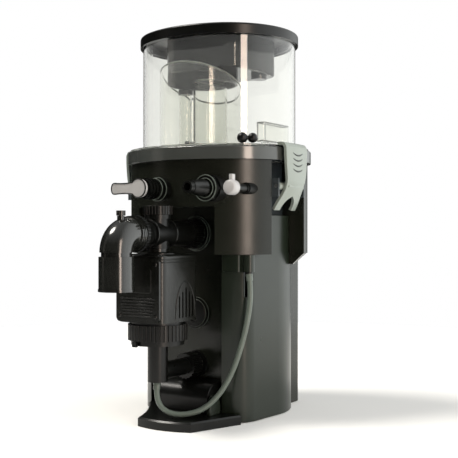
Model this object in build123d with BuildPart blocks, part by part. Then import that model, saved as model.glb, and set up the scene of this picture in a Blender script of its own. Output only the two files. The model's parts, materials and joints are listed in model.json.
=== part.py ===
from build123d import *
import math
import os

os.makedirs("parts", exist_ok=True)

# All sizes in mm. +Z is up, the pump and its pipes are at the front (-Y), and the
# origin is on the floor under the middle of the cup.

# Plan oval of the lid: four tangent arcs. Every wall that follows it is offset from it.
half_width = 114.0
half_depth = 102.0
side_arc_radius = 99.0
side_centre = half_width - side_arc_radius
end_gap = half_depth - side_arc_radius
end_centre = (side_centre ** 2 - end_gap ** 2) / (2 * end_gap)
side_arc_angle = math.degrees(math.atan2(end_centre, side_centre))

# Offsets of each wall from the lid oval
collar_out = 17.5
flange_out = 14.0
head_out = 13.0
cup_in = 4.0
cup_wall_thickness = 4.0
cover_in = 10.0
cover_thickness = 2.5
vessel_gap = 0.5
vessel_wall = 3.0
head_wall = 3.0
head_bore = 50.0

# Clearances
gap = 0.4
loose = 0.3
running = 0.05
far = 1000.0

# Heights
plinth_height = 12.0
cover_lift = 1.0
cover_height = 216.5
head_bottom = 217.0
collar_bottom = 340.0
collar_height = 17.0
collar_top = collar_bottom + collar_height
flange_thickness = 2.7
cup_floor_top = collar_top + loose + flange_thickness
cup_height = 145.0
lid_bottom = cup_floor_top + cup_height
lid_height = 14.0
lid_top = lid_bottom + lid_height
lid_plate = 4.0
cup_top = lid_top - lid_plate - loose
row_z = collar_bottom - 38
recess_top = row_z - 23

# Front recess that holds the pump
recess_half = 62.0
panel_half = 60.5
panel_front = -63.0
panel_thickness = 3.0
vessel_front = panel_front + panel_thickness + loose

# Fuller front corner of the right-hand cover
corner_x = half_width - 40
corner_y = -60.0
corner_radius = 24.0

# Rear spine
spine_half = half_width - 35
spine_start = 60.5
spine_back = 96.0
spine_wall = 3.0
spine_corner = 10.0

# Pump and pipe axes
pipe_x = 6.0
pump_y = -148.0
outlet_z = head_bottom + 27
mid_port_z = 137.0
suction_z = 68.0
pipe_radius = 16.0
pipe_wall = 2.2
tee_radius = pipe_radius + 1.6
tee_top = outlet_z + tee_radius + 6.4
tee_bottom = outlet_z - tee_radius - 1.4
suction_radius = 11.0
suction_pipe_radius = 13.0
elbow_y = -228.0
elbow_radius = 20.5
elbow_bore = 16.0
elbow_bend = 22.0
spigot_radius = 18.6
sleeve_radius = 21.6
sleeve_bottom = outlet_z - 69
sleeve_top = outlet_z - 26.4

# Pump
pump_width = 72.0
pump_depth = 82.0
pump_top = tee_bottom - 6.5
pump_bottom = pump_top - 84.9
pump_corner = 11.0
pump_wall = 3.0
lock_ring_radius = 38.0
lock_ring_bottom = pump_bottom - 23.6
lock_ring_top = lock_ring_bottom + 20
lock_ring_notches = 44
volute_radius = 34.0
volute_bottom = lock_ring_bottom - 6
volute_top = pump_bottom - loose
volute_wall = 3.5
shaft_radius = 2.5
rotor_radius = 12.0
wheel_radius = 24.0
needle_count = 16
core_radius = 28.0

# Row of fittings across the head
valve_x = -13.0
barb_x = 61.0
air_valve_x = 98.0

# Latches on the two sides
latch_mid = -15.0
latch_half = 28.0
latch_thickness = 6.0
latch_inner = collar_out + half_width + 0.4
latch_outer = latch_inner + latch_thickness
pivot_x = half_width + 8
pivot_z = collar_bottom - 34
tongue_height = pivot_z - 38
pin_radius = 2.5
barrel_radius = 4.8
pocket_front = -49.0
pocket_rear = 22.0
pocket_floor = half_width - 26
pocket_mid = (pocket_front + pocket_rear) / 2
pocket_length = pocket_rear - pocket_front

# Cup insides
riser_x = -8.0
riser_y = -31.0
riser_radius = 57.0
riser_wall = 3.0
riser_mid_height = cup_floor_top + 92.5
riser_slope = 21.0
inner_radius = 24.0
inner_x = -4.0
inner_y = riser_y + riser_radius - inner_radius - 17
inner_top = cup_floor_top + 96
stand_x = -40.0
stand_y = -25.0
stand_radius = 9.0
stand_top = cup_floor_top + 80
clear_wall = 2.0

# Box under the lid
box_x = 4.5
box_half_x = 61.5
box_half_y = 58.0
box_bottom = lid_bottom - 39
box_corner = 20.0
box_wall = 2.5

# Air hose
hose_diameter = 7.0
hose_top_x = 98.0
hose_top_y = -76.0
hose_top_z = 192.0
hose_bottom_y = -149.0
hose_bottom_z = 54.0
nipple_radius = hose_diameter / 2 + 1.2
nipple_bore = 1.5
suction_bottom = hose_bottom_z + 2


def oval(grow):
    """Plan oval of the lid, offset outwards by grow."""
    side = side_arc_radius + grow
    end = side_arc_radius + math.hypot(side_centre, end_centre) + grow
    with BuildLine() as outline:
        CenterArc((side_centre, 0), side, -side_arc_angle, 2 * side_arc_angle)
        CenterArc((0, -end_centre), end, side_arc_angle, 180 - 2 * side_arc_angle)
        CenterArc((-side_centre, 0), side, 180 - side_arc_angle, 2 * side_arc_angle)
        CenterArc((0, end_centre), end, 180 + side_arc_angle, 180 - 2 * side_arc_angle)
    make_face(outline.edges())


def front_reach(grow, x):
    """Y of the front of the plan oval, offset by grow, at a given X."""
    end = side_arc_radius + math.hypot(side_centre, end_centre) + grow
    if abs(x) <= end * math.cos(math.radians(side_arc_angle)):
        return end_centre - math.sqrt(end ** 2 - x ** 2)
    return -math.sqrt((side_arc_radius + grow) ** 2 - (abs(x) - side_centre) ** 2)


def oval_prism(grow, low, high, mode=Mode.ADD):
    """Upright prism on the plan oval."""
    with BuildSketch(Plane.XY.offset(low)) as area:
        oval(grow)
    extrude(area.sketch, amount=high - low, mode=mode)


def clear_in_front(y):
    """Take from the sketch all that lies in front of a given Y."""
    with Locations((0, y - far)):
        Rectangle(2 * far, 2 * far, mode=Mode.SUBTRACT)


def clear_behind(y):
    """Take from the sketch all that lies behind a given Y."""
    with Locations((0, y + far)):
        Rectangle(2 * far, 2 * far, mode=Mode.SUBTRACT)


def block(x, y, low, high, corner=0.0, mode=Mode.ADD):
    """Upright block between two X values, two Y values and two heights."""
    with BuildSketch(Plane.XY.offset(low)) as area:
        with Locations(((x[0] + x[1]) / 2, (y[0] + y[1]) / 2)):
            if corner:
                RectangleRounded(x[1] - x[0], y[1] - y[0], corner)
            else:
                Rectangle(x[1] - x[0], y[1] - y[0])
    extrude(area.sketch, amount=high - low, mode=mode)


def rod_z(x, y, low, high, radius, bore=0.0, mode=Mode.ADD):
    """Upright round bar, or a tube where a bore is given."""
    with BuildSketch(Plane.XY.offset(low)) as area:
        with Locations((x, y)):
            Circle(radius)
            if bore:
                Circle(bore, mode=Mode.SUBTRACT)
    extrude(area.sketch, amount=high - low, mode=mode)


def rod_y(x, z, back, front, radius, bore=0.0, mode=Mode.ADD):
    """Round bar along Y from back to front, or a tube where a bore is given."""
    with BuildSketch(Plane.XZ.offset(-back)) as area:
        with Locations((x, z)):
            Circle(radius)
            if bore:
                Circle(bore, mode=Mode.SUBTRACT)
    extrude(area.sketch, amount=back - front, mode=mode)


def ridged_ring(radius, notches, notch_radius):
    """Round outline with evenly spaced grip notches."""
    Circle(radius)
    with PolarLocations(radius, notches):
        Circle(notch_radius, mode=Mode.SUBTRACT)


def name_and_export(builder, label):
    """Label one finished piece and write its STEP file."""
    builder.part.label = label
    export_step(builder.part, f"parts/{label}.step")


# Base

tongue_front = -169.0
tongue_left = -12.0
tongue_right = 66.0
tongue_clear = min(front_reach(-cover_in, recess_half), corner_y - corner_radius) - 3
pad_radius = 9.0
pad_thickness = 2.0
pad_places = [(-68, 35), (68, 35), (4, -146), (48, -146)]

with BuildPart() as plinth:
    with BuildSketch():
        with BuildLine():
            front = ThreePointArc((tongue_left, -166), (27, tongue_front - 1.5), (tongue_right, -159))
            right = ThreePointArc(front @ 1, (79, -124), (93, tongue_clear))
            Polyline(right @ 1, (recess_half - 3, tongue_clear), (recess_half - 3, -50),
                     (3 - recess_half, -50), (3 - recess_half, tongue_clear + 2))
            ThreePointArc((3 - recess_half, tongue_clear + 2), (-33, -121), front @ 0)
        make_face()
    extrude(amount=plinth_height)
    top_rim = plinth.edges().group_by(Axis.Z)[-1]
    chamfer(top_rim.filter_by_position(Axis.Y, -far, tongue_clear - 0.5), 2.0)
    with BuildSketch():
        oval(-cover_in - cover_thickness - vessel_gap)
        clear_in_front(vessel_front)
    extrude(amount=plinth_height)
    with BuildSketch():
        with Locations(*pad_places):
            Circle(pad_radius + 0.2)
    extrude(amount=pad_thickness + 0.1, mode=Mode.SUBTRACT)
name_and_export(plinth, "plinth")

with BuildPart() as foot_pads:
    with BuildSketch():
        with Locations(*pad_places):
            Circle(pad_radius)
    extrude(amount=pad_thickness)
name_and_export(foot_pads, "foot_pads")

# Lower tank and its covers

vessel_top = cover_height - 0.5
port_radius = 11.0

with BuildPart() as vessel:
    vessel_out = -cover_in - cover_thickness - vessel_gap
    oval_prism(vessel_out, plinth_height, vessel_top)
    block((-far, far), (-far, vessel_front), plinth_height, vessel_top, mode=Mode.SUBTRACT)
    with BuildSketch(Plane.XY.offset(plinth_height + 4)):
        oval(vessel_out - vessel_wall)
        clear_in_front(vessel_front + vessel_wall)
    extrude(amount=vessel_top, mode=Mode.SUBTRACT)
    for port_z in (suction_z, mid_port_z):
        rod_y(pipe_x, port_z, vessel_front + 10, vessel_front - 5, port_radius - 2, mode=Mode.SUBTRACT)
name_and_export(vessel, "vessel")

with BuildPart() as recess_panel:
    block((-panel_half, panel_half), (panel_front, panel_front + panel_thickness),
          plinth_height + loose, recess_top - 0.5)
    for port_z in (suction_z, mid_port_z, outlet_z):
        rod_y(pipe_x, port_z, panel_front + 10, panel_front - 5, port_radius - 1, mode=Mode.SUBTRACT)
    panel_sides = recess_panel.edges().filter_by(Axis.Z).group_by(Axis.Y)[0]
    fillet(panel_sides, 1.2)
name_and_export(recess_panel, "recess_panel")


def cover_area(side, inset):
    """Plan area of one side cover, drawn in by inset; the right one has a fuller front corner."""
    with BuildSketch(mode=Mode.PRIVATE) as area:
        oval(-cover_in - inset)
        if side > 0:
            with Locations((corner_x, corner_y)):
                Circle(corner_radius - inset)
            make_hull()
        inner_edge = recess_half + inset
        with Locations((-side * (far - inner_edge), 0)):
            Rectangle(2 * far, 2 * far, mode=Mode.SUBTRACT)
        clear_behind(spine_start - 0.5)
    return area.sketch


def make_cover(side):
    """One side cover: a C-shaped shell with a raised tongue behind the latch."""
    with BuildSketch(mode=Mode.PRIVATE) as tank_area:
        oval(-cover_in - cover_thickness - 0.1)
        clear_in_front(vessel_front - loose)
    with BuildSketch(Plane.XY.offset(cover_lift)) as wall:
        add(cover_area(side, 0))
        add(cover_area(side, cover_thickness), mode=Mode.SUBTRACT)
        add(tank_area.sketch, mode=Mode.SUBTRACT)
    extrude(wall.sketch, amount=cover_height - cover_lift)
    with BuildSketch(Plane.XY.offset(cover_height)) as tongue:
        add(wall.sketch.moved(Location((0, 0, -cover_lift))))
        with Locations((side * (half_width + 6), pocket_mid)):
            Rectangle(60, pocket_length - 4, mode=Mode.INTERSECT)
    extrude(tongue.sketch, amount=tongue_height - cover_height)


silencer_bottom = 195.0
silencer_right = 90.0
silencer_back = -74.5
silencer_front = -87.5
boss_radius = 7.5

with BuildPart() as side_cover_right:
    make_cover(1)
    block((recess_half - 1, silencer_right + gap), (-far, silencer_back + loose + 0.2),
          silencer_bottom - gap, far, mode=Mode.SUBTRACT)
    rod_z(hose_top_x, hose_top_y, hose_top_z - 30, far, boss_radius + gap, mode=Mode.SUBTRACT)
name_and_export(side_cover_right, "side_cover_right")

with BuildPart() as side_cover_left:
    make_cover(-1)
name_and_export(side_cover_left, "side_cover_left")

with BuildPart() as rear_spine:
    block((-spine_half, spine_half), (spine_start, spine_back), cover_lift, cover_height, spine_corner)
    block((-spine_half, spine_half), (spine_start - 5, spine_start + spine_corner), cover_lift, cover_height)
    block((spine_wall - spine_half, spine_half - spine_wall), (spine_start - 6, spine_back - spine_wall),
          cover_lift, cover_height, spine_corner - spine_wall, mode=Mode.SUBTRACT)
    block((-far, far), (0, spine_start), 0, far, mode=Mode.SUBTRACT)
    oval_prism(-cover_in - cover_thickness, 0, far, mode=Mode.SUBTRACT)
name_and_export(rear_spine, "rear_spine")

# Head

with BuildPart() as head_housing:
    oval_prism(head_out, head_bottom, collar_bottom)
    block((-recess_half, recess_half), (-far, vessel_front - loose), 0, recess_top, mode=Mode.SUBTRACT)
    for side in (-1, 1):
        pocket = sorted((side * pocket_floor, side * far))
        block(pocket, (pocket_front, pocket_rear), 0, far, mode=Mode.SUBTRACT)
    with BuildSketch(Plane.XY.offset(head_bottom + head_wall)):
        oval(head_out - head_wall)
        with Locations((0, vessel_front - loose + head_wall - far)):
            Rectangle(2 * (recess_half + head_wall), 2 * far, mode=Mode.SUBTRACT)
        for side in (-1, 1):
            with Locations((side * (pocket_floor - head_wall + far), pocket_mid)):
                Rectangle(2 * far, pocket_length + 2 * head_wall, mode=Mode.SUBTRACT)
    extrude(amount=recess_top - head_bottom, mode=Mode.SUBTRACT)
    with BuildSketch(Plane.XY.offset(recess_top + head_wall)):
        oval(head_out - head_wall)
        for side in (-1, 1):
            with Locations((side * (pocket_floor - head_wall + far), pocket_mid)):
                Rectangle(2 * far, pocket_length + 2 * head_wall, mode=Mode.SUBTRACT)
    extrude(amount=collar_bottom, mode=Mode.SUBTRACT)
    rod_z(0, 0, 0, far, head_bore, mode=Mode.SUBTRACT)
name_and_export(head_housing, "head_housing")

# Sloped apron under the rear of the head
apron_low = head_bottom - 15

with BuildPart() as head_aprons:
    with BuildSketch(Plane.XY.offset(head_bottom - 0.2)):
        oval(head_out - 1)
    extrude(amount=apron_low - head_bottom, taper=48)
    block((-far, far), (-far, pocket_rear + 1), 0, far, mode=Mode.SUBTRACT)
    block((-far, far), (spine_start + 8, far), 0, far, mode=Mode.SUBTRACT)
    oval_prism(-cover_in + gap, 0, far, mode=Mode.SUBTRACT)
    block((-spine_half - gap, spine_half + gap), (0, spine_back), 0, far, mode=Mode.SUBTRACT)
name_and_export(head_aprons, "head_aprons")

with BuildPart() as collar_ring:
    oval_prism(collar_out, collar_bottom + loose, collar_top)
    fillet(collar_ring.edges().group_by(Axis.Z)[-1], 1.5)
    oval_prism(-cup_in - cup_wall_thickness, 0, far, mode=Mode.SUBTRACT)
name_and_export(collar_ring, "collar_ring")

# Latches

bracket_low = tongue_height + 1.0
bracket_high = collar_bottom - loose
ear_thickness = 2.5


def make_bracket(side):
    """Latch bracket: a back plate in the side pocket with two ears for the pin."""
    plate = sorted((side * (pocket_floor + loose), side * (pocket_floor + 3)))
    block(plate, (pocket_front + loose, pocket_rear - loose), bracket_low, bracket_high)
    for ear in ((pocket_front + loose, pocket_front + loose + ear_thickness),
                (pocket_rear - loose - ear_thickness, pocket_rear - loose)):
        reach = sorted((side * (pocket_floor + 2), side * (pivot_x + 4)))
        block(reach, ear, pivot_z - 14, pivot_z + 10)
    with BuildSketch(Plane.XZ.offset(-pocket_rear - 5)) as pin_hole:
        with Locations((side * pivot_x, pivot_z)):
            Circle(pin_radius)
    extrude(pin_hole.sketch, amount=pocket_rear - pocket_front + 10, mode=Mode.SUBTRACT)


with BuildPart() as latch_brackets:
    make_bracket(1)
    make_bracket(-1)
name_and_export(latch_brackets, "latch_brackets")

with BuildPart() as latch_pins:
    for side in (-1, 1):
        rod_y(side * pivot_x, pivot_z, pocket_rear - loose, pocket_front + loose, pin_radius)
name_and_export(latch_pins, "latch_pins")

latch_top = cup_floor_top + 4
latch_low = pivot_z - 35
latch_bend = pivot_z + 8
latch_tail_x = half_width - 4
latch_waist = pivot_z - 16
hook_reach = half_width + 7
hook_low = cup_floor_top + 0.7


def make_latch(side):
    """Latch lever: hook over the cup flange, grip plate, pivot barrel and arched tail."""
    with BuildSketch(Plane.XZ.offset(-latch_mid)) as profile:
        with BuildLine() as outline:
            Polyline((side * latch_outer, latch_top), (side * latch_outer, latch_bend),
                     (side * (latch_tail_x + latch_thickness), latch_low), (side * latch_tail_x, latch_low),
                     (side * latch_inner, latch_bend), (side * latch_inner, hook_low),
                     (side * hook_reach, hook_low), (side * hook_reach, latch_top),
                     (side * latch_outer, latch_top))
        make_face(outline.edges())
    extrude(profile.sketch, amount=latch_half, both=True)
    with BuildSketch(Plane.YZ.offset(0)) as face:
        with BuildLine() as edge_line:
            Polyline((latch_mid - latch_half, latch_top), (latch_mid + latch_half, latch_top),
                     (latch_mid + latch_half, latch_bend))
            ThreePointArc((latch_mid + latch_half, latch_bend), (latch_mid + latch_half - 7, pivot_z - 4),
                          (latch_mid + latch_half, latch_waist))
            Line((latch_mid + latch_half, latch_waist), (latch_mid + latch_half, latch_low))
            Line((latch_mid + latch_half, latch_low), (latch_mid + latch_half - 12, latch_low))
            ThreePointArc((latch_mid + latch_half - 12, latch_low), (latch_mid, latch_waist),
                          (latch_mid - latch_half + 12, latch_low))
            Line((latch_mid - latch_half + 12, latch_low), (latch_mid - latch_half, latch_low))
            Line((latch_mid - latch_half, latch_low), (latch_mid - latch_half, latch_waist))
            ThreePointArc((latch_mid - latch_half, latch_waist), (latch_mid - latch_half + 7, pivot_z - 4),
                          (latch_mid - latch_half, latch_bend))
            Line((latch_mid - latch_half, latch_bend), (latch_mid - latch_half, latch_top))
        make_face(edge_line.edges())
    extrude(face.sketch, amount=far, both=True, mode=Mode.INTERSECT)
    barrel_half = (pocket_rear - pocket_front) / 2 - ear_thickness - loose - 0.4
    barrel_mid = (pocket_rear + pocket_front) / 2
    with BuildSketch(Plane.XZ.offset(-barrel_mid - barrel_half)) as barrel:
        with Locations((side * pivot_x, pivot_z)):
            Circle(barrel_radius)
        reach = side * (latch_inner - pivot_x)
        with Locations((side * pivot_x + reach / 2, pivot_z + 3)):
            Rectangle(abs(reach) + 2, 5)
    extrude(barrel.sketch, amount=2 * barrel_half)
    with BuildSketch(Plane.XZ.offset(-barrel_mid - barrel_half - 5)) as pin_bore:
        with Locations((side * pivot_x, pivot_z)):
            Circle(pin_radius + running)
    extrude(pin_bore.sketch, amount=2 * barrel_half + 10, mode=Mode.SUBTRACT)


with BuildPart() as latch_right:
    make_latch(1)
name_and_export(latch_right, "latch_right")

with BuildPart() as latch_left:
    make_latch(-1)
name_and_export(latch_left, "latch_left")

# Collection cup

with BuildPart() as cup_floor:
    oval_prism(flange_out, collar_top + loose, cup_floor_top)
    oval_prism(-cup_in - cup_wall_thickness - loose, collar_top - 8, collar_top + loose + 1)
    oval_prism(-cup_in - 2 * cup_wall_thickness, 0, collar_top + loose, mode=Mode.SUBTRACT)
    rod_z(riser_x, riser_y, 0, far, riser_radius - riser_wall, mode=Mode.SUBTRACT)
    for side in (-1, 1):
        notch = sorted((side * (hook_reach - loose), side * far))
        block(notch, (latch_mid - latch_half - 1, latch_mid + latch_half + 1), 0, far, mode=Mode.SUBTRACT)
name_and_export(cup_floor, "cup_floor")

with BuildPart() as cup_wall:
    oval_prism(-cup_in, cup_floor_top, cup_top)
    oval_prism(-cup_in - cup_wall_thickness, 0, far, mode=Mode.SUBTRACT)
name_and_export(cup_wall, "cup_wall")

with BuildPart() as riser_tube:
    rod_z(riser_x, riser_y, cup_floor_top, lid_top, riser_radius, riser_radius - riser_wall)
    slope = math.radians(riser_slope)
    rim_plane = Plane((riser_x, riser_y, riser_mid_height), z_dir=(0, math.sin(slope), math.cos(slope)))
    split(bisect_by=rim_plane, keep=Keep.BOTTOM)
name_and_export(riser_tube, "riser_tube")

# Inner tube of the riser, held by a three-armed spider that also carries the standpipe
spider_low = cup_floor_top + 4.0
spider_thickness = 3.0

with BuildPart() as inner_tube:
    with BuildSketch(Plane.XY.offset(spider_low)):
        with Locations((riser_x, riser_y)):
            with PolarLocations(riser_radius / 2, 3, start_angle=45):
                Rectangle(riser_radius, 6)
            Circle(riser_radius - riser_wall - 0.1, mode=Mode.INTERSECT)
        with Locations((inner_x, inner_y)):
            Circle(inner_radius, mode=Mode.SUBTRACT)
        with Locations((stand_x, stand_y)):
            Circle(stand_radius + 2)
            Circle(stand_radius, mode=Mode.SUBTRACT)
    extrude(amount=spider_thickness)
    rod_z(inner_x, inner_y, spider_low, inner_top, inner_radius)
    rod_z(inner_x, inner_y, 0, far, inner_radius - clear_wall, mode=Mode.SUBTRACT)
name_and_export(inner_tube, "inner_tube")

with BuildPart() as standpipe:
    rod_z(stand_x, stand_y, spider_low, stand_top, stand_radius, stand_radius - clear_wall)
name_and_export(standpipe, "standpipe")

with BuildPart() as standpipe_cap:
    rod_z(stand_x, stand_y, stand_top, stand_top + 7, stand_radius + 1.5)
    fillet(standpipe_cap.edges().group_by(Axis.Z)[-1], 1.5)
name_and_export(standpipe_cap, "standpipe_cap")

pocket_x = (half_width - 30, half_width - 17)
pocket_y = (-38.0, 30.0)
pocket_z = (cup_floor_top + 6, cup_floor_top + 32)

with BuildPart() as cup_pocket:
    block(pocket_x, pocket_y, pocket_z[0], pocket_z[1], 4)
    inside_x = (pocket_x[0] + clear_wall, pocket_x[1] - clear_wall)
    inside_y = (pocket_y[0] + clear_wall, pocket_y[1] - clear_wall)
    block(inside_x, inside_y, pocket_z[0] + clear_wall, far, 2, mode=Mode.SUBTRACT)
    for foot_y in (-24, 16):
        block((pocket_x[0] + 2, pocket_x[1] - 3), (foot_y - 3, foot_y + 3), cup_floor_top, pocket_z[0])
name_and_export(cup_pocket, "cup_pocket")

# Drain tap on the front corner of the cup: a ball body with a ball knob beside it
tap_angle = -46.0
tap_z = cup_floor_top + 8
tap_ball = 7.0
knob_ball = 6.5
stem_radius = 2.6
tap_out = Vector(math.cos(math.radians(tap_angle)), math.sin(math.radians(tap_angle)), 0)
tap_side = Vector(-tap_out.Y, tap_out.X, 0)
tap_wall = Vector(side_centre, 0, tap_z) + tap_out * (side_arc_radius - cup_in)
tap_centre = tap_wall + tap_out * 9
knob_centre = tap_centre + tap_side * 13.5

with BuildPart() as drain_tap:
    with Locations(tap_centre):
        Sphere(tap_ball)
    with BuildSketch(Plane(tap_wall + tap_out * 0.1, z_dir=tap_out)):
        Circle(4.5)
    extrude(amount=6)
    with BuildSketch(Plane(tap_centre, z_dir=tap_side)):
        Circle(stem_radius + running)
    extrude(amount=20, mode=Mode.SUBTRACT)
    split(bisect_by=Plane(tap_centre + tap_side * 6.4, z_dir=tap_side), keep=Keep.BOTTOM)
name_and_export(drain_tap, "drain_tap")

with BuildPart() as drain_knob:
    with Locations(knob_centre):
        Sphere(knob_ball)
    split(bisect_by=Plane(tap_centre + tap_side * 6.8, z_dir=tap_side), keep=Keep.TOP)
    with BuildSketch(Plane(tap_centre + tap_side * 1, z_dir=tap_side)):
        Circle(stem_radius)
    extrude(amount=8)
name_and_export(drain_knob, "drain_knob")

# Lid

with BuildPart() as lid:
    oval_prism(0, lid_bottom, lid_top)
    fillet(lid.edges().group_by(Axis.Z)[-1], 3)
    oval_prism(-cup_in + loose, 0, lid_top - lid_plate, mode=Mode.SUBTRACT)
    oval_prism(-cup_in - cup_wall_thickness - loose, lid_bottom + 1, lid_top - lid_plate)
    oval_prism(-cup_in - cup_wall_thickness - 3, 0, lid_top - lid_plate, mode=Mode.SUBTRACT)
name_and_export(lid, "lid")

boss_x = 52.0
boss_y = 24.0
boss_drop = 6.0
lid_boss_radius = 11.0
skirt_radius = riser_radius - 8
skirt_low = box_bottom - 16

with BuildPart() as lid_box:
    block((box_x - box_half_x, box_x + box_half_x), (-box_half_y, box_half_y),
          box_bottom, lid_top - lid_plate, box_corner)
    fillet(lid_box.edges().group_by(Axis.Z)[0], 3)
    rod_z(boss_x, boss_y, box_bottom - boss_drop, box_bottom + 1, lid_boss_radius)
    with BuildSketch(Plane.XY.offset(skirt_low)):
        with Locations((riser_x, riser_y + 3)):
            Circle(skirt_radius)
            Circle(skirt_radius - box_wall, mode=Mode.SUBTRACT)
        clear_in_front(4 - box_half_y)
    extrude(amount=box_bottom - skirt_low + 1)
    inside_x = (box_x - box_half_x + box_wall, box_x + box_half_x - box_wall)
    inside_y = (box_wall - box_half_y, box_half_y - box_wall)
    block(inside_x, inside_y, box_bottom + box_wall, far, box_corner - box_wall, mode=Mode.SUBTRACT)
name_and_export(lid_box, "lid_box")

# Air silencer and its hose

with BuildPart() as air_silencer:
    block((recess_half + 0.5, silencer_right), (silencer_front, silencer_back),
          silencer_bottom, cover_height, 3)
    rod_z(hose_top_x, hose_top_y, silencer_bottom, cover_height, boss_radius)
    block((silencer_right - 6, hose_top_x), (hose_top_y - 5, hose_top_y + 1),
          silencer_bottom + 1, cover_height)
name_and_export(air_silencer, "air_silencer")

with BuildPart() as hose_nipples:
    rod_z(hose_top_x, hose_top_y, hose_top_z, silencer_bottom, nipple_radius, nipple_bore)
    rod_z(pipe_x, hose_bottom_y, hose_bottom_z, suction_bottom, nipple_radius, nipple_bore)
name_and_export(hose_nipples, "hose_nipples")

hose_route = [
    (hose_top_x, hose_top_y, hose_top_z),
    (103, -79, 171),
    (102, -83, 140),
    (97, -90, 105),
    (88, -100, 67),
    (76, -113, 39),
    (63, -128, 23),
    (48, -142, 17.5),
    (33, -152, 17.5),
    (17.5, -156.5, 24.5),
    (8, -154, 40.5),
    (pipe_x, hose_bottom_y, hose_bottom_z),
]


def arc_radii(route):
    """Largest tangent arc at each corner: 0.45 of the shorter run over tan of half the turn."""
    places = [Vector(*point) for point in route]
    radii = []
    for before, corner, after in zip(places, places[1:], places[2:]):
        run_in = corner - before
        run_out = after - corner
        half_turn = math.radians(run_in.get_angle(run_out) / 2)
        radii.append(0.45 * min(run_in.length, run_out.length) / math.tan(half_turn))
    return radii


hose_radii = arc_radii(hose_route)
print("hose arc radii", [round(radius, 1) for radius in hose_radii])

with BuildPart() as air_hose:
    with BuildLine() as hose_path:
        FilletPolyline(*hose_route, radius=hose_radii)
    with BuildSketch(Plane(hose_path.line @ 0, z_dir=hose_path.line % 0)):
        Circle(hose_diameter / 2)
    sweep()
hose_section = math.pi * hose_diameter ** 2 / 4
hose_length = sum(edge.length for edge in hose_path.edges())
print("hose length", round(hose_length, 1), "tube volume over section times length",
      round(air_hose.part.volume / (hose_section * hose_length), 4))
name_and_export(air_hose, "air_hose")

# Row of fittings on the head


valve_seat = front_reach(head_out, valve_x)
barb_seat = front_reach(head_out, barb_x)
air_seat = front_reach(head_out, air_valve_x)
valve_length = 44.0
valve_radius = 15.5
valve_neck_radius = 12.0
valve_nose_radius = 9.0
valve_rib_radius = 13.6
valve_stem_radius = 3.0
lever_thickness = 7.0


def seat_on_head():
    """Cut the back of a fitting to the curve of the head."""
    oval_prism(head_out + 0.02, row_z - 30, row_z + 30, mode=Mode.SUBTRACT)


with BuildPart() as valve_body:
    rod_y(valve_x, row_z, valve_seat + 6, valve_seat - 9, valve_radius)
    rod_y(valve_x, row_z, valve_seat - 9, valve_seat - valve_length + 5, valve_neck_radius)
    for rib in range(4):
        rib_y = valve_seat - 13 - 6 * rib
        rod_y(valve_x, row_z, rib_y, rib_y - 3, valve_rib_radius)
    rod_y(valve_x, row_z, valve_seat - valve_length + 5, valve_seat - valve_length, valve_nose_radius)
    seat_on_head()
    rod_y(valve_x, row_z, 0, -far, valve_stem_radius + running, mode=Mode.SUBTRACT)
name_and_export(valve_body, "valve_body")

lever_back = valve_seat - valve_length - loose
lever_arm = 45.0
lever_head = 12.0
arm_half = 7.0
arm_end = valve_x - lever_arm

with BuildPart() as valve_lever:
    with BuildSketch(Plane.XZ.offset(-lever_back)):
        with Locations((valve_x, row_z)):
            Circle(lever_head)
        with BuildLine():
            Polyline((valve_x - 2, row_z + lever_head - 0.5), (valve_x - 14, row_z + arm_half + 0.5),
                     (arm_end + 5, row_z + arm_half - 0.5))
            ThreePointArc((arm_end + 5, row_z + arm_half - 0.5), (arm_end, row_z),
                          (arm_end + 5, row_z - arm_half + 0.5))
            Polyline((arm_end + 5, row_z - arm_half + 0.5), (valve_x - 14, row_z - arm_half - 0.5),
                     (valve_x - 2, row_z - lever_head + 0.5), (valve_x - 2, row_z + lever_head - 0.5))
        make_face()
        with Locations((valve_x + lever_head - 1, row_z - 1)):
            Rectangle(7, 7, rotation=45)
    extrude(amount=lever_thickness)
    fillet(valve_lever.edges().group_by(Axis.Y)[0], 1.6)
    rod_y(valve_x, row_z, valve_seat - 12, lever_back - 2, valve_stem_radius)
name_and_export(valve_lever, "valve_lever")

barb_length = 58.0
barb_bore = 5.0
barb_root_radius = 10.0
barb_tip_radius = 7.4
nut_radius = 17.0
nut_bore = barb_root_radius + 0.2

with BuildPart() as barb_nut:
    rod_y(barb_x, row_z, barb_seat + 20, barb_seat - 9, nut_radius, nut_bore)
    with BuildSketch(Plane.XZ.offset(9 - barb_seat)):
        with Locations((barb_x, row_z)):
            RegularPolygon(nut_radius - 0.5, 6)
            Circle(nut_bore, mode=Mode.SUBTRACT)
    extrude(amount=10)
    seat_on_head()
name_and_export(barb_nut, "barb_nut")

with BuildPart() as hose_barb:
    rod_y(barb_x, row_z, barb_seat + 20, barb_seat - 28, barb_root_radius)
    for step, radius in enumerate((11.2, 10.2, 9.2)):
        with BuildSketch(Plane.XZ.offset(26 + 8 * step - barb_seat)):
            with Locations((barb_x, row_z)):
                Circle(radius)
        extrude(amount=8, taper=9)
    rod_y(barb_x, row_z, barb_seat - 48, barb_seat - barb_length, barb_tip_radius)
    seat_on_head()
    rod_y(barb_x, row_z, 0, -far, barb_bore, mode=Mode.SUBTRACT)
name_and_export(hose_barb, "hose_barb")

air_knob_y = air_seat - 43
air_stem_radius = 1.8

with BuildPart() as air_valve_body:
    rod_y(air_valve_x, row_z, air_seat + 20, air_seat - 9, 7.5)
    rod_y(air_valve_x, row_z, air_seat - 9, air_seat - 12, 6.2)
    rod_y(air_valve_x, row_z, air_seat - 12, air_knob_y + 8.5, 5.2)
    seat_on_head()
    rod_y(air_valve_x, row_z, 0, -far, air_stem_radius + running, mode=Mode.SUBTRACT)
name_and_export(air_valve_body, "air_valve_body")

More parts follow.
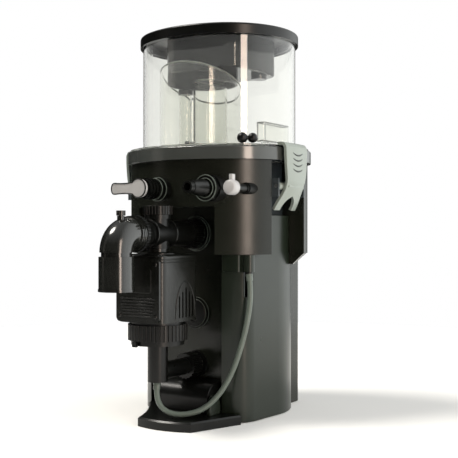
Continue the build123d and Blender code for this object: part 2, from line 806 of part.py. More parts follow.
with BuildPart() as air_valve_knob:
    rod_y(air_valve_x, row_z, air_knob_y + 8, air_knob_y - 7, 10)
    fillet(air_valve_knob.edges().group_by(Axis.Y)[0], 3)
    block((air_valve_x - 3, air_valve_x + 3), (air_knob_y, air_knob_y + 8), row_z + 8, row_z + 17, 1)
    rod_y(air_valve_x, row_z, air_knob_y + 28, air_knob_y + 7, air_stem_radius)
name_and_export(air_valve_knob, "air_valve_knob")

# Outlet pipework

tee_back = pump_y + 20
tee_front = pump_y - 20
union_back = panel_front - 8
union_length = 16.0

with BuildPart() as outlet_flange:
    rod_y(pipe_x, outlet_z, panel_front, panel_front - 4, pipe_radius + 6, pipe_radius - pipe_wall)
    rod_y(pipe_x, outlet_z, panel_front - 4, panel_front - 7, pipe_radius + 4, pipe_radius - pipe_wall)
name_and_export(outlet_flange, "outlet_flange")

with BuildPart() as outlet_pipe:
    rod_y(pipe_x, outlet_z, panel_front - 7, tee_back, pipe_radius, pipe_radius - pipe_wall)
name_and_export(outlet_pipe, "outlet_pipe")

with BuildPart() as outlet_union:
    with BuildSketch(Plane.XZ.offset(-union_back)):
        with Locations((pipe_x, outlet_z)):
            ridged_ring(pipe_radius + 3.5, 24, 1.2)
            Circle(pipe_radius + running, mode=Mode.SUBTRACT)
    extrude(amount=union_length)
name_and_export(outlet_union, "outlet_union")

limb_radius = 13.0
limb_bore = limb_radius - 1

with BuildPart() as tee:
    rod_y(pipe_x, outlet_z, tee_back, tee_front, tee_radius)
    rod_z(pipe_x, pump_y, tee_bottom, tee_top, limb_radius + 2)
    rod_z(pipe_x, pump_y, tee_top - 5, tee_top, limb_radius + 4)
    rod_y(pipe_x, outlet_z, 0, -far, pipe_radius - pipe_wall, mode=Mode.SUBTRACT)
    rod_z(pipe_x, pump_y, tee_bottom - 1, tee_top + 1, limb_bore, mode=Mode.SUBTRACT)
name_and_export(tee, "tee")

with BuildPart() as tee_cap:
    with BuildSketch(Plane.XY.offset(tee_top + loose)):
        with Locations((pipe_x, pump_y)):
            ridged_ring(19.0, 30, 0.9)
    extrude(amount=11)
    fillet(tee_cap.faces().sort_by(Axis.Z)[-1].outer_wire().edges().filter_by(GeomType.CIRCLE), 0.3)
    rod_z(pipe_x, pump_y, tee_top - 8, tee_top + loose, limb_bore - running)
name_and_export(tee_cap, "tee_cap")

cone_front = pump_y - 42
ring_front = cone_front - 5.5

with BuildPart() as cone_adapter:
    with BuildSketch(Plane.XZ.offset(-tee_front)):
        with Locations((pipe_x, outlet_z)):
            Circle(pipe_radius - 1.5)
    extrude(amount=4)
    with BuildSketch(Plane.XZ.offset(-tee_front + 4)):
        with Locations((pipe_x, outlet_z)):
            Circle(pipe_radius - 1.5)
    with BuildSketch(Plane.XZ.offset(-cone_front)):
        with Locations((pipe_x, outlet_z)):
            Circle(20.8)
    loft()
    rod_y(pipe_x, outlet_z, cone_front, elbow_y + elbow_bend + 2, elbow_bore)
    rod_y(pipe_x, outlet_z, 0, -far, elbow_bore - 3, mode=Mode.SUBTRACT)
name_and_export(cone_adapter, "cone_adapter")

with BuildPart() as lock_ring:
    with BuildSketch(Plane.XZ.offset(loose - cone_front)):
        with Locations((pipe_x, outlet_z)):
            ridged_ring(23.0, 40, 0.9)
            Circle(elbow_bore + running, mode=Mode.SUBTRACT)
    extrude(amount=5)
name_and_export(lock_ring, "lock_ring")

elbow_back = ring_front - 0.3
elbow_rings = 3

bend_start = Plane((pipe_x, elbow_y + elbow_bend, outlet_z), x_dir=(0, -1, 0), z_dir=(1, 0, 0))
screw_y = elbow_y + 8
screw_radius = 2.6
screw_seat = outlet_z + elbow_radius + 1.5

with BuildPart() as elbow:
    rod_y(pipe_x, outlet_z, elbow_back, elbow_y + elbow_bend, elbow_radius)
    for step in range(elbow_rings):
        step_y = elbow_back - 0.8 - 3.2 * step
        rod_y(pipe_x, outlet_z, step_y, step_y - 1.7, elbow_radius + 1.6)
    with BuildLine(bend_start) as bend_path:
        JernArc((0, 0), (1, 0), elbow_bend, 90)
    with BuildSketch(Plane(bend_start.origin, z_dir=(0, -1, 0))):
        Circle(elbow_radius)
    sweep(path=bend_path.line)
    rod_z(pipe_x, elbow_y, sleeve_bottom + 18, outlet_z - elbow_bend, spigot_radius)
    rod_z(pipe_x, screw_y, outlet_z, screw_seat, screw_radius + 2)
    with BuildSketch(Plane(bend_start.origin, z_dir=(0, -1, 0))):
        Circle(elbow_bore + running)
    sweep(path=bend_path.line, mode=Mode.SUBTRACT)
    rod_y(pipe_x, outlet_z, 0, elbow_y + elbow_bend, elbow_bore + running, mode=Mode.SUBTRACT)
    rod_z(pipe_x, elbow_y, 0, outlet_z - elbow_bend, elbow_bore + running, mode=Mode.SUBTRACT)
    rod_z(pipe_x, screw_y, outlet_z, far, screw_radius + running, mode=Mode.SUBTRACT)
name_and_export(elbow, "elbow")

sleeve_wall = sleeve_radius - spigot_radius - 0.3

with BuildPart() as elbow_sleeve:
    rod_z(pipe_x, elbow_y, sleeve_bottom, sleeve_top - 0.9, sleeve_radius, sleeve_radius - sleeve_wall)
    with BuildSketch(Plane.XY.offset(sleeve_bottom)):
        with Locations((pipe_x, elbow_y)):
            Circle(sleeve_radius + 0.6)
            Circle(sleeve_radius - sleeve_wall, mode=Mode.SUBTRACT)
    extrude(amount=3)
name_and_export(elbow_sleeve, "elbow_sleeve")

with BuildPart() as thumb_screw:
    with BuildSketch(Plane.XY.offset(screw_seat + loose)):
        with Locations((pipe_x, screw_y)):
            ridged_ring(5.6, 16, 0.5)
    extrude(amount=6)
    rod_z(pipe_x, screw_y, screw_seat - 8, screw_seat + loose, screw_radius)
name_and_export(thumb_screw, "thumb_screw")

# Pump

pump_half = pump_width / 2
pump_front = pump_y - pump_depth / 2
pump_back = pump_y + pump_depth / 2
front_plate = 3.0
slot_count = 5
slot_half = 1.4
slot_pitch = 7.0

with BuildPart() as pump_housing:
    block((pipe_x - pump_half, pipe_x + pump_half), (pump_front + front_plate + 0.1, pump_back),
          pump_bottom, pump_top, pump_corner)
    fillet(pump_housing.edges().group_by(Axis.Z)[-1], 4)
    block((pipe_x - pump_half + pump_wall, pipe_x + pump_half - pump_wall),
          (pump_front + front_plate + 0.1 + pump_wall, pump_back - pump_wall),
          0, pump_top - pump_wall, pump_corner - pump_wall, mode=Mode.SUBTRACT)
    rod_z(pipe_x, pump_y, pump_top, tee_bottom + 8, limb_bore - running, limb_radius - 4)
    rod_z(pipe_x, pump_y, pump_top, tee_bottom - 0.1, limb_radius + 1, limb_radius - 4)
    for slot in range(slot_count):
        slot_y = pump_y - 2 + slot_pitch * slot
        slot_top = pump_bottom + 42.4 - 5 * abs(slot - 2)
        block((pipe_x + pump_half - 10, pipe_x + pump_half + 10), (slot_y - slot_half, slot_y + slot_half),
              pump_bottom + 5, slot_top, mode=Mode.SUBTRACT)
name_and_export(pump_housing, "pump_housing")

with BuildPart() as pump_front_cover:
    block((pipe_x - pump_half + 2, pipe_x + pump_half - 2), (pump_front, pump_front + front_plate),
          pump_bottom + 1, pump_top - 5)
    fillet(pump_front_cover.edges().filter_by(Axis.Y), 6)
    for slot in (-1, 1):
        block((pipe_x - 4 + slot * 12 - 6, pipe_x - 4 + slot * 12 + 6), (pump_front - 5, pump_front + 5),
              pump_bottom + 29, pump_bottom + 32, mode=Mode.SUBTRACT)
name_and_export(pump_front_cover, "pump_front_cover")

with BuildPart() as motor_core:
    rod_z(pipe_x, pump_y, pump_bottom + 8, pump_top - 12, core_radius, rotor_radius + 2.5)
    rod_z(pipe_x, pump_y, pump_top - 12, pump_top - 8, core_radius)
name_and_export(motor_core, "motor_core")

with BuildPart() as volute:
    rod_z(pipe_x, pump_y, volute_bottom, volute_top, volute_radius)
    rod_z(pipe_x, pump_y, volute_bottom + volute_wall, far, volute_radius - volute_wall, mode=Mode.SUBTRACT)
    rod_z(pipe_x, pump_y, volute_bottom - 5, volute_top, suction_pipe_radius - 3, mode=Mode.SUBTRACT)
name_and_export(volute, "volute")

with BuildPart() as pump_lock_ring:
    with BuildSketch(Plane.XY.offset(lock_ring_bottom)):
        with Locations((pipe_x, pump_y)):
            ridged_ring(lock_ring_radius, lock_ring_notches, 1.3)
            Circle(volute_radius + loose, mode=Mode.SUBTRACT)
    extrude(amount=lock_ring_top - lock_ring_bottom)
    block((pipe_x - 10, pipe_x - 4), (pump_y - lock_ring_radius - 1.0, pump_y - volute_radius - 0.8),
          lock_ring_bottom - 7, lock_ring_bottom)
name_and_export(pump_lock_ring, "pump_lock_ring")

rotor_low = pump_bottom + 10
rotor_high = pump_top - 30

with BuildPart() as impeller_shaft:
    rod_z(pipe_x, pump_y, volute_bottom + volute_wall + 3, pump_top - 14, shaft_radius)
name_and_export(impeller_shaft, "impeller_shaft")

with BuildPart() as shaft_bush:
    rod_z(pipe_x, pump_y, pump_top - 18, pump_top - 14, rotor_radius + 2.4, shaft_radius + 0.03)
name_and_export(shaft_bush, "shaft_bush")

with BuildPart() as magnet_rotor:
    rod_z(pipe_x, pump_y, rotor_low, rotor_high, rotor_radius, shaft_radius + running)
name_and_export(magnet_rotor, "magnet_rotor")

with BuildPart() as needle_wheel:
    rod_z(pipe_x, pump_y, rotor_low - 6, rotor_low - 0.1, 6, shaft_radius + running)
    rod_z(pipe_x, pump_y, rotor_low - 8, rotor_low - 6, wheel_radius, shaft_radius + running)
    for ring_radius in (12, 20):
        with BuildSketch(Plane.XY.offset(rotor_low - 8)):
            with Locations((pipe_x, pump_y)):
                with PolarLocations(ring_radius, needle_count):
                    Circle(1.2)
        extrude(amount=-16)
name_and_export(needle_wheel, "needle_wheel")

# Suction pipework

coupling_back = panel_front - 7
coupling_front = pump_y + 50
suction_bore = suction_radius - 2.2

with BuildPart() as suction_pipe:
    rod_z(pipe_x, pump_y, suction_bottom, volute_bottom, suction_pipe_radius)
    rod_y(pipe_x, suction_z, coupling_front + 6, pump_y, suction_radius)
    rod_z(pipe_x, pump_y, suction_z - 6, volute_bottom + 1, suction_pipe_radius - 3, mode=Mode.SUBTRACT)
    rod_z(pipe_x, hose_bottom_y, 0, suction_z, nipple_bore, mode=Mode.SUBTRACT)
    rod_y(pipe_x, suction_z, 0, pump_y, suction_bore, mode=Mode.SUBTRACT)
name_and_export(suction_pipe, "suction_pipe")

with BuildPart() as suction_union:
    with BuildSketch(Plane.XZ.offset(-coupling_back + 1)):
        with Locations((pipe_x, suction_z)):
            ridged_ring(suction_radius + 6, 20, 1.2)
            Circle(suction_radius + running, mode=Mode.SUBTRACT)
    extrude(amount=20)
name_and_export(suction_union, "suction_union")

with BuildPart() as suction_flange:
    rod_y(pipe_x, suction_z, panel_front, panel_front - 4, suction_radius + 7, suction_bore)
    rod_y(pipe_x, suction_z, panel_front - 4, coupling_front + 6, suction_radius, suction_bore)
name_and_export(suction_flange, "suction_flange")

plug_radius = 21.0

with BuildPart() as mid_port_plug:
    rod_y(pipe_x, mid_port_z, panel_front, panel_front - 4, plug_radius)
    rod_y(pipe_x, mid_port_z, panel_front - 4, panel_front - 7.5, plug_radius - 2.5)
    fillet(mid_port_plug.edges().group_by(Axis.Y)[0], 1)
    rod_y(pipe_x, mid_port_z, panel_front - 5.5, panel_front - 8, plug_radius - 9, mode=Mode.SUBTRACT)
name_and_export(mid_port_plug, "mid_port_plug")

# Low housing on the plinth

drain_front = -108.0
drain_top = 49.5
drain_round = 20.0
drain_left = -27.0
drain_width = 82.0

with BuildPart() as drain_housing:
    with BuildSketch(Plane.YZ.offset(drain_left)):
        with BuildLine():
            Polyline((panel_front - 0.1, plinth_height + 0.1), (drain_front, plinth_height + 0.1),
                     (drain_front, drain_top - drain_round))
            shoulder = (drain_front + drain_round, drain_top)
            RadiusArc((drain_front, drain_top - drain_round), shoulder, drain_round)
            Polyline((drain_front + drain_round, drain_top), (panel_front - 0.1, drain_top),
                     (panel_front - 0.1, plinth_height + 0.1))
        make_face()
    extrude(amount=drain_width)
    fillet(drain_housing.edges().group_by(Axis.X)[-1].sort_by(Axis.Y)[0], 1)
name_and_export(drain_housing, "drain_housing")

# Inside the tank

bubble_plate_z = plinth_height + 88
reaction_y = riser_y + 40
reaction_radius = 46.0
reaction_bore = 43.5
hole_radius = 2.5
hole_rings = ((14, 6), (26, 12), (37, 18))

with BuildPart() as reaction_tube:
    rod_z(riser_x, reaction_y, plinth_height + 4.2, head_bottom - 2, reaction_radius, reaction_bore)
name_and_export(reaction_tube, "reaction_tube")

with BuildPart() as bubble_plate:
    with BuildSketch(Plane.XY.offset(bubble_plate_z)):
        with Locations((riser_x, reaction_y)):
            Circle(reaction_bore - loose)
            for ring_radius, holes in hole_rings:
                with PolarLocations(ring_radius, holes):
                    Circle(hole_radius, mode=Mode.SUBTRACT)
    extrude(amount=3)
name_and_export(bubble_plate, "bubble_plate")
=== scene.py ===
import bpy
import bmesh
import json
import math
from mathutils import Matrix, Vector


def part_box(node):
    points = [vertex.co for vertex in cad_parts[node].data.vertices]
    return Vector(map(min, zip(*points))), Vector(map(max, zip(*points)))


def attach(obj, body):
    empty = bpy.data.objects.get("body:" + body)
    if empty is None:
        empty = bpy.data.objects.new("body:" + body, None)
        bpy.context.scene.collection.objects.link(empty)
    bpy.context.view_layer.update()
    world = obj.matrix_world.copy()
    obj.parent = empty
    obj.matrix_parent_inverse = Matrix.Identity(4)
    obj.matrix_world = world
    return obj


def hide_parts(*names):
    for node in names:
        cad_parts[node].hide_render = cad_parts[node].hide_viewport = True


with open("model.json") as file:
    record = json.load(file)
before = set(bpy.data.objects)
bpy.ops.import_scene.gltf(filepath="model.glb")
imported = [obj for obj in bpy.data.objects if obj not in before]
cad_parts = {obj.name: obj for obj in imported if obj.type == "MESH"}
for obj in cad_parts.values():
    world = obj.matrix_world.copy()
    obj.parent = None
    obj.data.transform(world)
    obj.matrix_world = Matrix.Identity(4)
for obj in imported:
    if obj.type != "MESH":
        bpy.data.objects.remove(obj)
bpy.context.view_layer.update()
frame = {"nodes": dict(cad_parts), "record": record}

mm = 0.001
nodes = frame["nodes"]
scene = bpy.context.scene
scene.view_settings.view_transform = "Standard"

cameraFacts = {"azimuth": 34.0, "distance": 1.235, "height": 0.25, "lens": 68.4, "shift": 0.0223}
sunFacts = {"place": (-1.15, -0.8, 2.2), "strength": 3.0, "spread": 20.0, "colour": "fffaf2"}
softboxFacts = {
    "leftSoftbox": {"place": (-1.5, -1.3, 0.7), "size": (0.5, 1.3), "power": 0.5, "colour": "fff6ea"},
    "stripSoftbox": {"place": (1.91, -1.09, 0.6), "size": (0.4, 1.6), "power": 22.0, "colour": "ffe9d8"},
}
studioFacts = {"colour": "f2f5f4", "skyLow": 0.02, "skyTop": 0.62, "skyFrom": 0.4, "skyTo": 0.95,
               "wallFacing": (0.82, 0.57, 0.05), "wallGlow": 2.6, "wallFrom": 0.3, "wallTo": 0.95}
floorFacts = {"radius": 1.1, "steps": 96, "colour": "f6f6f5", "rough": 0.9}
print("stage: camera and light")


def toLinear(hexText):
    parts = [int(hexText[i:i + 2], 16) / 255 for i in (0, 2, 4)]
    return tuple([p / 12.92 if p <= 0.04045 else ((p + 0.055) / 1.055) ** 2.4 for p in parts] + [1.0])


def addNode(tree, kind, settings=None, links=None):
    node = tree.nodes.new(kind)
    for key, value in (settings or {}).items():
        if isinstance(key, int) or key in node.inputs:
            node.inputs[key].default_value = value
        else:
            setattr(node, key, value)
    for key, source in (links or {}).items():
        tree.links.new(source, node.inputs[key])
    return node


def placeCamera():
    turn = math.radians(cameraFacts["azimuth"])
    lens = bpy.data.cameras.new("camera")
    lens.lens = cameraFacts["lens"]
    lens.sensor_width = 36.0
    lens.shift_x = cameraFacts["shift"]
    lens.clip_end = 50
    camera = bpy.data.objects.new("camera", lens)
    reach = cameraFacts["distance"]
    camera.location = (reach * math.sin(turn), -reach * math.cos(turn), cameraFacts["height"])
    camera.rotation_euler = (math.radians(90), 0, turn)
    scene.collection.objects.link(camera)
    scene.camera = camera


def hangLamp(light, place, target):
    lamp = bpy.data.objects.new(light.name, light)
    lamp.location = place
    lamp.rotation_euler = (Vector(target) - lamp.location).to_track_quat("-Z", "Y").to_euler()
    scene.collection.objects.link(lamp)


def placeLights():
    sun = bpy.data.lights.new("keySun", "SUN")
    sun.energy = sunFacts["strength"]
    sun.angle = math.radians(sunFacts["spread"])
    sun.color = toLinear(sunFacts["colour"])[:3]
    hangLamp(sun, sunFacts["place"], (0, 0, 0))
    for name, facts in softboxFacts.items():
        light = bpy.data.lights.new(name, "AREA")
        light.shape = "RECTANGLE"
        light.size, light.size_y = facts["size"]
        light.energy = facts["power"]
        light.color = toLinear(facts["colour"])[:3]
        hangLamp(light, facts["place"], (0, 0, 0.25))


def buildStudio():
    # bright overhead, dark at eye level, with a wide white wall on the right;
    # plain white where the camera sees it, straight on or through the acrylic
    facts = studioFacts
    world = bpy.data.worlds.new("studio")
    scene.world = world
    world.use_nodes = True
    tree = world.node_tree
    tree.nodes.clear()
    path = addNode(tree, "ShaderNodeLightPath")
    clear = addNode(tree, "ShaderNodeMath", {"operation": "MAXIMUM"},
                    {0: path.outputs["Is Camera Ray"], 1: path.outputs["Is Transmission Ray"]})
    seen = addNode(tree, "ShaderNodeBackground", {"Color": (1, 1, 1, 1), "Strength": 1.0})
    heading = addNode(tree, "ShaderNodeTexCoord").outputs["Generated"]
    height = addNode(tree, "ShaderNodeSeparateXYZ", {}, {0: heading}).outputs["Z"]
    overhead = addNode(tree, "ShaderNodeMapRange",
                       {"From Min": facts["skyFrom"], "From Max": facts["skyTo"],
                        "To Min": facts["skyLow"], "To Max": facts["skyTop"]}, {"Value": height})
    facing = addNode(tree, "ShaderNodeVectorMath", {"operation": "DOT_PRODUCT", 1: facts["wallFacing"]},
                     {0: heading})
    wall = addNode(tree, "ShaderNodeMapRange",
                   {"From Min": facts["wallFrom"], "From Max": facts["wallTo"],
                    "To Min": 0.0, "To Max": facts["wallGlow"]}, {"Value": facing.outputs["Value"]})
    glow = addNode(tree, "ShaderNodeMath", {"operation": "ADD"},
                   {0: overhead.outputs["Result"], 1: wall.outputs["Result"]})
    lit = addNode(tree, "ShaderNodeBackground", {"Color": toLinear(facts["colour"])},
                  {"Strength": glow.outputs[0]})
    mixed = addNode(tree, "ShaderNodeMixShader", {},
                    {0: clear.outputs[0], 1: lit.outputs[0], 2: seen.outputs[0]})
    addNode(tree, "ShaderNodeOutputWorld", {}, {"Surface": mixed.outputs[0]})


def placeFloor():
    facts = floorFacts
    mesh = bpy.data.meshes.new("studioFloor")
    shape = bmesh.new()
    bmesh.ops.create_circle(shape, cap_ends=True, segments=facts["steps"], radius=facts["radius"])
    shape.to_mesh(mesh)
    shape.free()
    floor = bpy.data.objects.new("studioFloor", mesh)
    scene.collection.objects.link(floor)
    paint = bpy.data.materials.new("paintedStudioFloor")
    paint.use_nodes = True
    shader = paint.node_tree.nodes["Principled BSDF"]
    shader.inputs["Base Color"].default_value = toLinear(facts["colour"])
    shader.inputs["Roughness"].default_value = facts["rough"]
    mesh.materials.append(paint)


placeCamera()
placeLights()
buildStudio()
placeFloor()
print("stage: materials")


def startMaterial(name):
    made = bpy.data.materials.new(name)
    made.use_nodes = True
    tree = made.node_tree
    tree.nodes.clear()
    shader = addNode(tree, "ShaderNodeBsdfPrincipled")
    addNode(tree, "ShaderNodeOutputMaterial", {}, {"Surface": shader.outputs[0]})
    place = addNode(tree, "ShaderNodeTexCoord").outputs["Object"]
    return made, tree, shader, place


def perMetre(sizeInMm):
    return 1 / (sizeInMm * mm)


def tintAndBump(tree, shader, facts, tintFrom, bumpFrom):
    # colour runs from dark to light with one pattern, and the surface rises with the other
    blend = addNode(tree, "ShaderNodeMix",
                    {"data_type": "RGBA", 6: toLinear(facts["dark"]), 7: toLinear(facts["light"])},
                    {0: tintFrom})
    tree.links.new(blend.outputs[2], shader.inputs["Base Color"])
    bump = addNode(tree, "ShaderNodeBump", {"Strength": facts["bump"], "Distance": facts["riseMm"] * mm},
                   {"Height": bumpFrom})
    tree.links.new(bump.outputs["Normal"], shader.inputs["Normal"])


def mouldedPlastic(name, facts):
    # slow flow marks in the melt, rubbed patches that shine a little more, and the
    # tool's spark grain, drawn coarser than it is so that it shows
    facts = {"riseMm": 0.4, "ior": 1.5, "coat": 0.0, **facts}
    made, tree, shader, place = startMaterial(name)
    flow = addNode(tree, "ShaderNodeTexNoise", {"Scale": perMetre(facts["flowMm"]), "Detail": 3.0},
                   {"Vector": place})
    rub = addNode(tree, "ShaderNodeTexNoise",
                  {"Scale": perMetre(facts["rubMm"]), "Detail": 6.0, "Roughness": 0.62}, {"Vector": place})
    gloss = addNode(tree, "ShaderNodeMapRange",
                    {"From Min": 0.3, "From Max": 0.7,
                     "To Min": facts["rough"] - 0.03, "To Max": facts["rough"] + 0.03},
                    {"Value": rub.outputs["Fac"]})
    tree.links.new(gloss.outputs["Result"], shader.inputs["Roughness"])
    grain = addNode(tree, "ShaderNodeTexNoise", {"Scale": perMetre(facts["grainMm"]), "Detail": 2.0},
                    {"Vector": place})
    tintAndBump(tree, shader, facts, flow.outputs["Fac"], grain.outputs["Fac"])
    shader.inputs["IOR"].default_value = facts["ior"]
    shader.inputs["Coat Weight"].default_value = facts["coat"]
    shader.inputs["Coat Roughness"].default_value = 0.12
    return made


def castAcrylic(name, facts):
    # polished sheet: clear through the face, darker where a wall is seen edge on,
    # with faint wiping marks and a slow ripple
    made, tree, shader, place = startMaterial(name)
    haze = addNode(tree, "ShaderNodeTexNoise", {"Scale": perMetre(facts["hazeMm"]), "Detail": 4.0},
                   {"Vector": place})
    wipe = addNode(tree, "ShaderNodeTexNoise", {"Scale": perMetre(facts["wipeMm"]), "Detail": 5.0},
                   {"Vector": place})
    gloss = addNode(tree, "ShaderNodeMapRange",
                    {"To Min": facts["polish"], "To Max": facts["polish"] + 0.03},
                    {"Value": wipe.outputs["Fac"]})
    tree.links.new(gloss.outputs["Result"], shader.inputs["Roughness"])
    tintAndBump(tree, shader, facts, haze.outputs["Fac"], haze.outputs["Fac"])
    shader.inputs["IOR"].default_value = facts["ior"]
    shader.inputs["Transmission Weight"].default_value = facts["through"]
    return made


def sawnAcrylicWithHighlight(name, facts):
    # pale beads on the cut edges of clear sheet: partly the frosted look of sawn acrylic, partly painted
    # highlight where the edges catch the light;
    # the saw marks are drawn coarser than they are so that they show
    made, tree, shader, place = startMaterial(name)
    saw = addNode(tree, "ShaderNodeTexNoise", {"Scale": perMetre(facts["sawMm"]), "Detail": 4.0},
                  {"Vector": place})
    tintAndBump(tree, shader, facts, saw.outputs["Fac"], saw.outputs["Fac"])
    shader.inputs["Roughness"].default_value = facts["rough"]
    shader.inputs["Transmission Weight"].default_value = facts["through"]
    shader.inputs["IOR"].default_value = facts["ior"]
    return made


def groundMetal(name, facts):
    # round bar ground across its length, so rings run round it, drawn coarser than
    # they are so that they show; a wave texture has 20 / (2 pi) bands to the unit
    made, tree, shader, place = startMaterial(name)
    rings = addNode(tree, "ShaderNodeTexWave",
                    {"bands_direction": "Y", "Scale": perMetre(facts["ringMm"]) * math.tau / 20,
                     "Distortion": 1.5}, {"Vector": place})
    tintAndBump(tree, shader, facts, rings.outputs["Fac"], rings.outputs["Fac"])
    shader.inputs["Metallic"].default_value = 1.0
    shader.inputs["Roughness"].default_value = facts["rough"]
    return made


plasticFacts = {
    # head, aprons, panel and spine: near black, with long soft highlights down its curves
    "smoke_shell": ("satinMouldedSmokeAbs", {
        "dark": "141611", "light": "1c1e18", "rough": 0.25, "flowMm": 90, "rubMm": 30, "grainMm": 1.6,
        "bump": 0.03, "ior": 1.4}),
    # side covers and silencer: a green-grey cast and a wider, duller highlight
    "cover_green": ("satinMouldedGreenGreyAbs", {
        "dark": "161c15", "light": "1d241c", "rough": 0.3, "flowMm": 120, "rubMm": 40, "grainMm": 1.6,
        "bump": 0.04, "ior": 1.42}),
    # lid, plinth, pipework and fittings: deep black with little shine
    "black_plastic": ("mouldedBlackPolypropylene", {
        "dark": "070807", "light": "0d0e0d", "rough": 0.3, "flowMm": 30, "rubMm": 12, "grainMm": 1.2,
        "bump": 0.04, "ior": 1.35}),
    # elbow and its sleeve: narrow bright highlights
    "gloss_pipe": ("polishedDarkPressurePvc", {
        "dark": "141513", "light": "1c1d1b", "rough": 0.17, "flowMm": 40, "rubMm": 15, "grainMm": 1.2,
        "bump": 0.04, "coat": 0.25}),
    # pump: black, with a fine grain that breaks up the highlight
    "pump_shell": ("fineMouldedPumpAbs", {
        "dark": "0c0d0b", "light": "141512", "rough": 0.24, "flowMm": 40, "rubMm": 15, "grainMm": 0.8,
        "bump": 0.05, "ior": 1.42}),
    # collar: smoky grey under a clear gloss
    "grey_ring": ("smokedMouldedPolycarbonate", {
        "dark": "3a3d3b", "light": "494c4a", "rough": 0.14, "flowMm": 60, "rubMm": 20, "grainMm": 1.2,
        "bump": 0.05, "coat": 0.5}),
    # latches: pale and even, hardly any shine
    "latch_grey": ("satinMouldedPaleGreenAbs", {
        "dark": "7c847d", "light": "89918a", "rough": 0.33, "flowMm": 50, "rubMm": 14, "grainMm": 0.8,
        "bump": 0.07}),
    # latch brackets: dull slate blue behind the pale latch
    "bracket_blue": ("fineMouldedSlateAbs", {
        "dark": "2f3538", "light": "3a4144", "rough": 0.4, "flowMm": 50, "rubMm": 14, "grainMm": 0.8,
        "bump": 0.08}),
    # lever and knob: the palest pieces, waxy
    "light_grey": ("satinMouldedPaleGreyPolyacetal", {
        "dark": "a6a6a6", "light": "b6b6b6", "rough": 0.34, "flowMm": 30, "rubMm": 9, "grainMm": 0.8,
        "bump": 0.06}),
    # hose and seal beads: soft grey, with one long faint highlight
    "hose_silicone": ("extrudedGreySilicone", {
        "dark": "4f5851", "light": "5e6760", "rough": 0.3, "flowMm": 25, "rubMm": 8, "grainMm": 1.0,
        "bump": 0.05, "ior": 1.43}),
    # foot pads and shaft bush: rough and without shine
    "pad_rubber": ("mouldedBlackRubber", {
        "dark": "101010", "light": "191918", "rough": 0.7, "flowMm": 20, "rubMm": 8, "grainMm": 0.8,
        "bump": 0.3}),
    # motor core, rotor and needle wheel: grey, slightly rough
    "rotor_plastic": ("mouldedRotorPlastic", {
        "dark": "2a2b2e", "light": "38393c", "rough": 0.45, "flowMm": 20, "rubMm": 8, "grainMm": 0.8,
        "bump": 0.1}),
    # tank inside the shell: dark and dull
    "vessel_plastic": ("mouldedDarkTankPlastic", {
        "dark": "0f110f", "light": "171a16", "rough": 0.36, "flowMm": 90, "rubMm": 30, "grainMm": 1.0,
        "bump": 0.06}),
    # impeller shaft: white and smooth
    "ceramic": ("polishedWhiteCeramic", {
        "dark": "d2cfc6", "light": "dfdcd4", "rough": 0.2, "flowMm": 15, "rubMm": 8, "grainMm": 0.8,
        "bump": 0.04}),
}
acrylicFacts = {
    # cup and its tubes: clear as glass, faintly tinted where walls overlap
    "clear_acrylic": ("polishedCastAcrylic", {
        "dark": "f3f4f0", "light": "fbfbf8", "polish": 0.0, "ior": 1.49, "through": 1.0, "hazeMm": 60,
        "wipeMm": 9, "bump": 0.05, "riseMm": 0.5}),
    # box under the lid: dark, and lets a little light through
    "smoke_acrylic": ("polishedSmokedAcrylic", {
        "dark": "2e2f2d", "light": "3b3c39", "polish": 0.05, "ior": 1.49, "through": 0.3, "hazeMm": 60,
        "wipeMm": 9, "bump": 0.05, "riseMm": 0.5}),
}
# pale edge colour: frosted sawn sheet, with painted highlight laid over it
sawnEdgeHighlightFacts = {"dark": "c9cfc8", "light": "e6eae5", "rough": 0.35, "ior": 1.49, "through": 0.35,
             "sawMm": 1.2, "bump": 0.2, "riseMm": 0.3}
# latch pins: bright metal with rings that catch the light
metalFacts = {"dark": "9a9a98", "light": "c4c4c2", "rough": 0.28, "ringMm": 6.2832, "bump": 0.15,
              "riseMm": 0.2}
finishes = {}
for slotName, (materialName, facts) in plasticFacts.items():
    finishes[slotName] = mouldedPlastic(materialName, facts)
for slotName, (materialName, facts) in acrylicFacts.items():
    finishes[slotName] = castAcrylic(materialName, facts)
finishes["pin_steel"] = groundMetal("groundStainlessSteel", metalFacts)
sawnEdgeAndHighlight = sawnAcrylicWithHighlight("sawCutAcrylicEdgeWithPaintedHighlight", sawnEdgeHighlightFacts)

slotOf = {entry["node"]: entry["material_slot"] for entry in frame["record"]["subparts"]}
for nodeName, node in nodes.items():
    node.data.materials.clear()
    node.data.materials.append(finishes[slotOf[nodeName]])

hoseFacts = {"diameter": 7.0, "length": 0.276}
hoseRoute = [(98, -76, 192), (103, -79, 171), (102, -83, 140), (97, -90, 105), (88, -100, 67),
             (76, -113, 39), (63, -128, 23), (48, -142, 17.5), (33, -152, 17.5), (17.5, -156.5, 24.5),
             (8, -154, 40.5), (6, -149, 54)]
print("stage: air hose")


def makeHose():
    line = bpy.data.curves.new("airHose", "CURVE")
    line.dimensions = "3D"
    line.bevel_depth = hoseFacts["diameter"] / 2 * mm
    line.bevel_resolution = 8
    line.resolution_u = 16
    line.use_fill_caps = True
    spline = line.splines.new("NURBS")
    spline.points.add(len(hoseRoute) - 1)
    for point, place in zip(spline.points, hoseRoute):
        point.co = (place[0] * mm, place[1] * mm, place[2] * mm, 1)
    spline.order_u = 3
    spline.use_endpoint_u = True
    line.materials.append(finishes["hose_silicone"])
    hose = bpy.data.objects.new("airHose", line)
    scene.collection.objects.link(hose)
    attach(hose, "root")
    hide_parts("air_hose")


makeHose()


def corners(node):
    # lowest and highest corner of a CAD node, in mm
    low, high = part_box(node)
    return [v / mm for v in low], [v / mm for v in high]


def middle(node):
    low, high = corners(node)
    return [(a + b) / 2 for a, b in zip(low, high)]


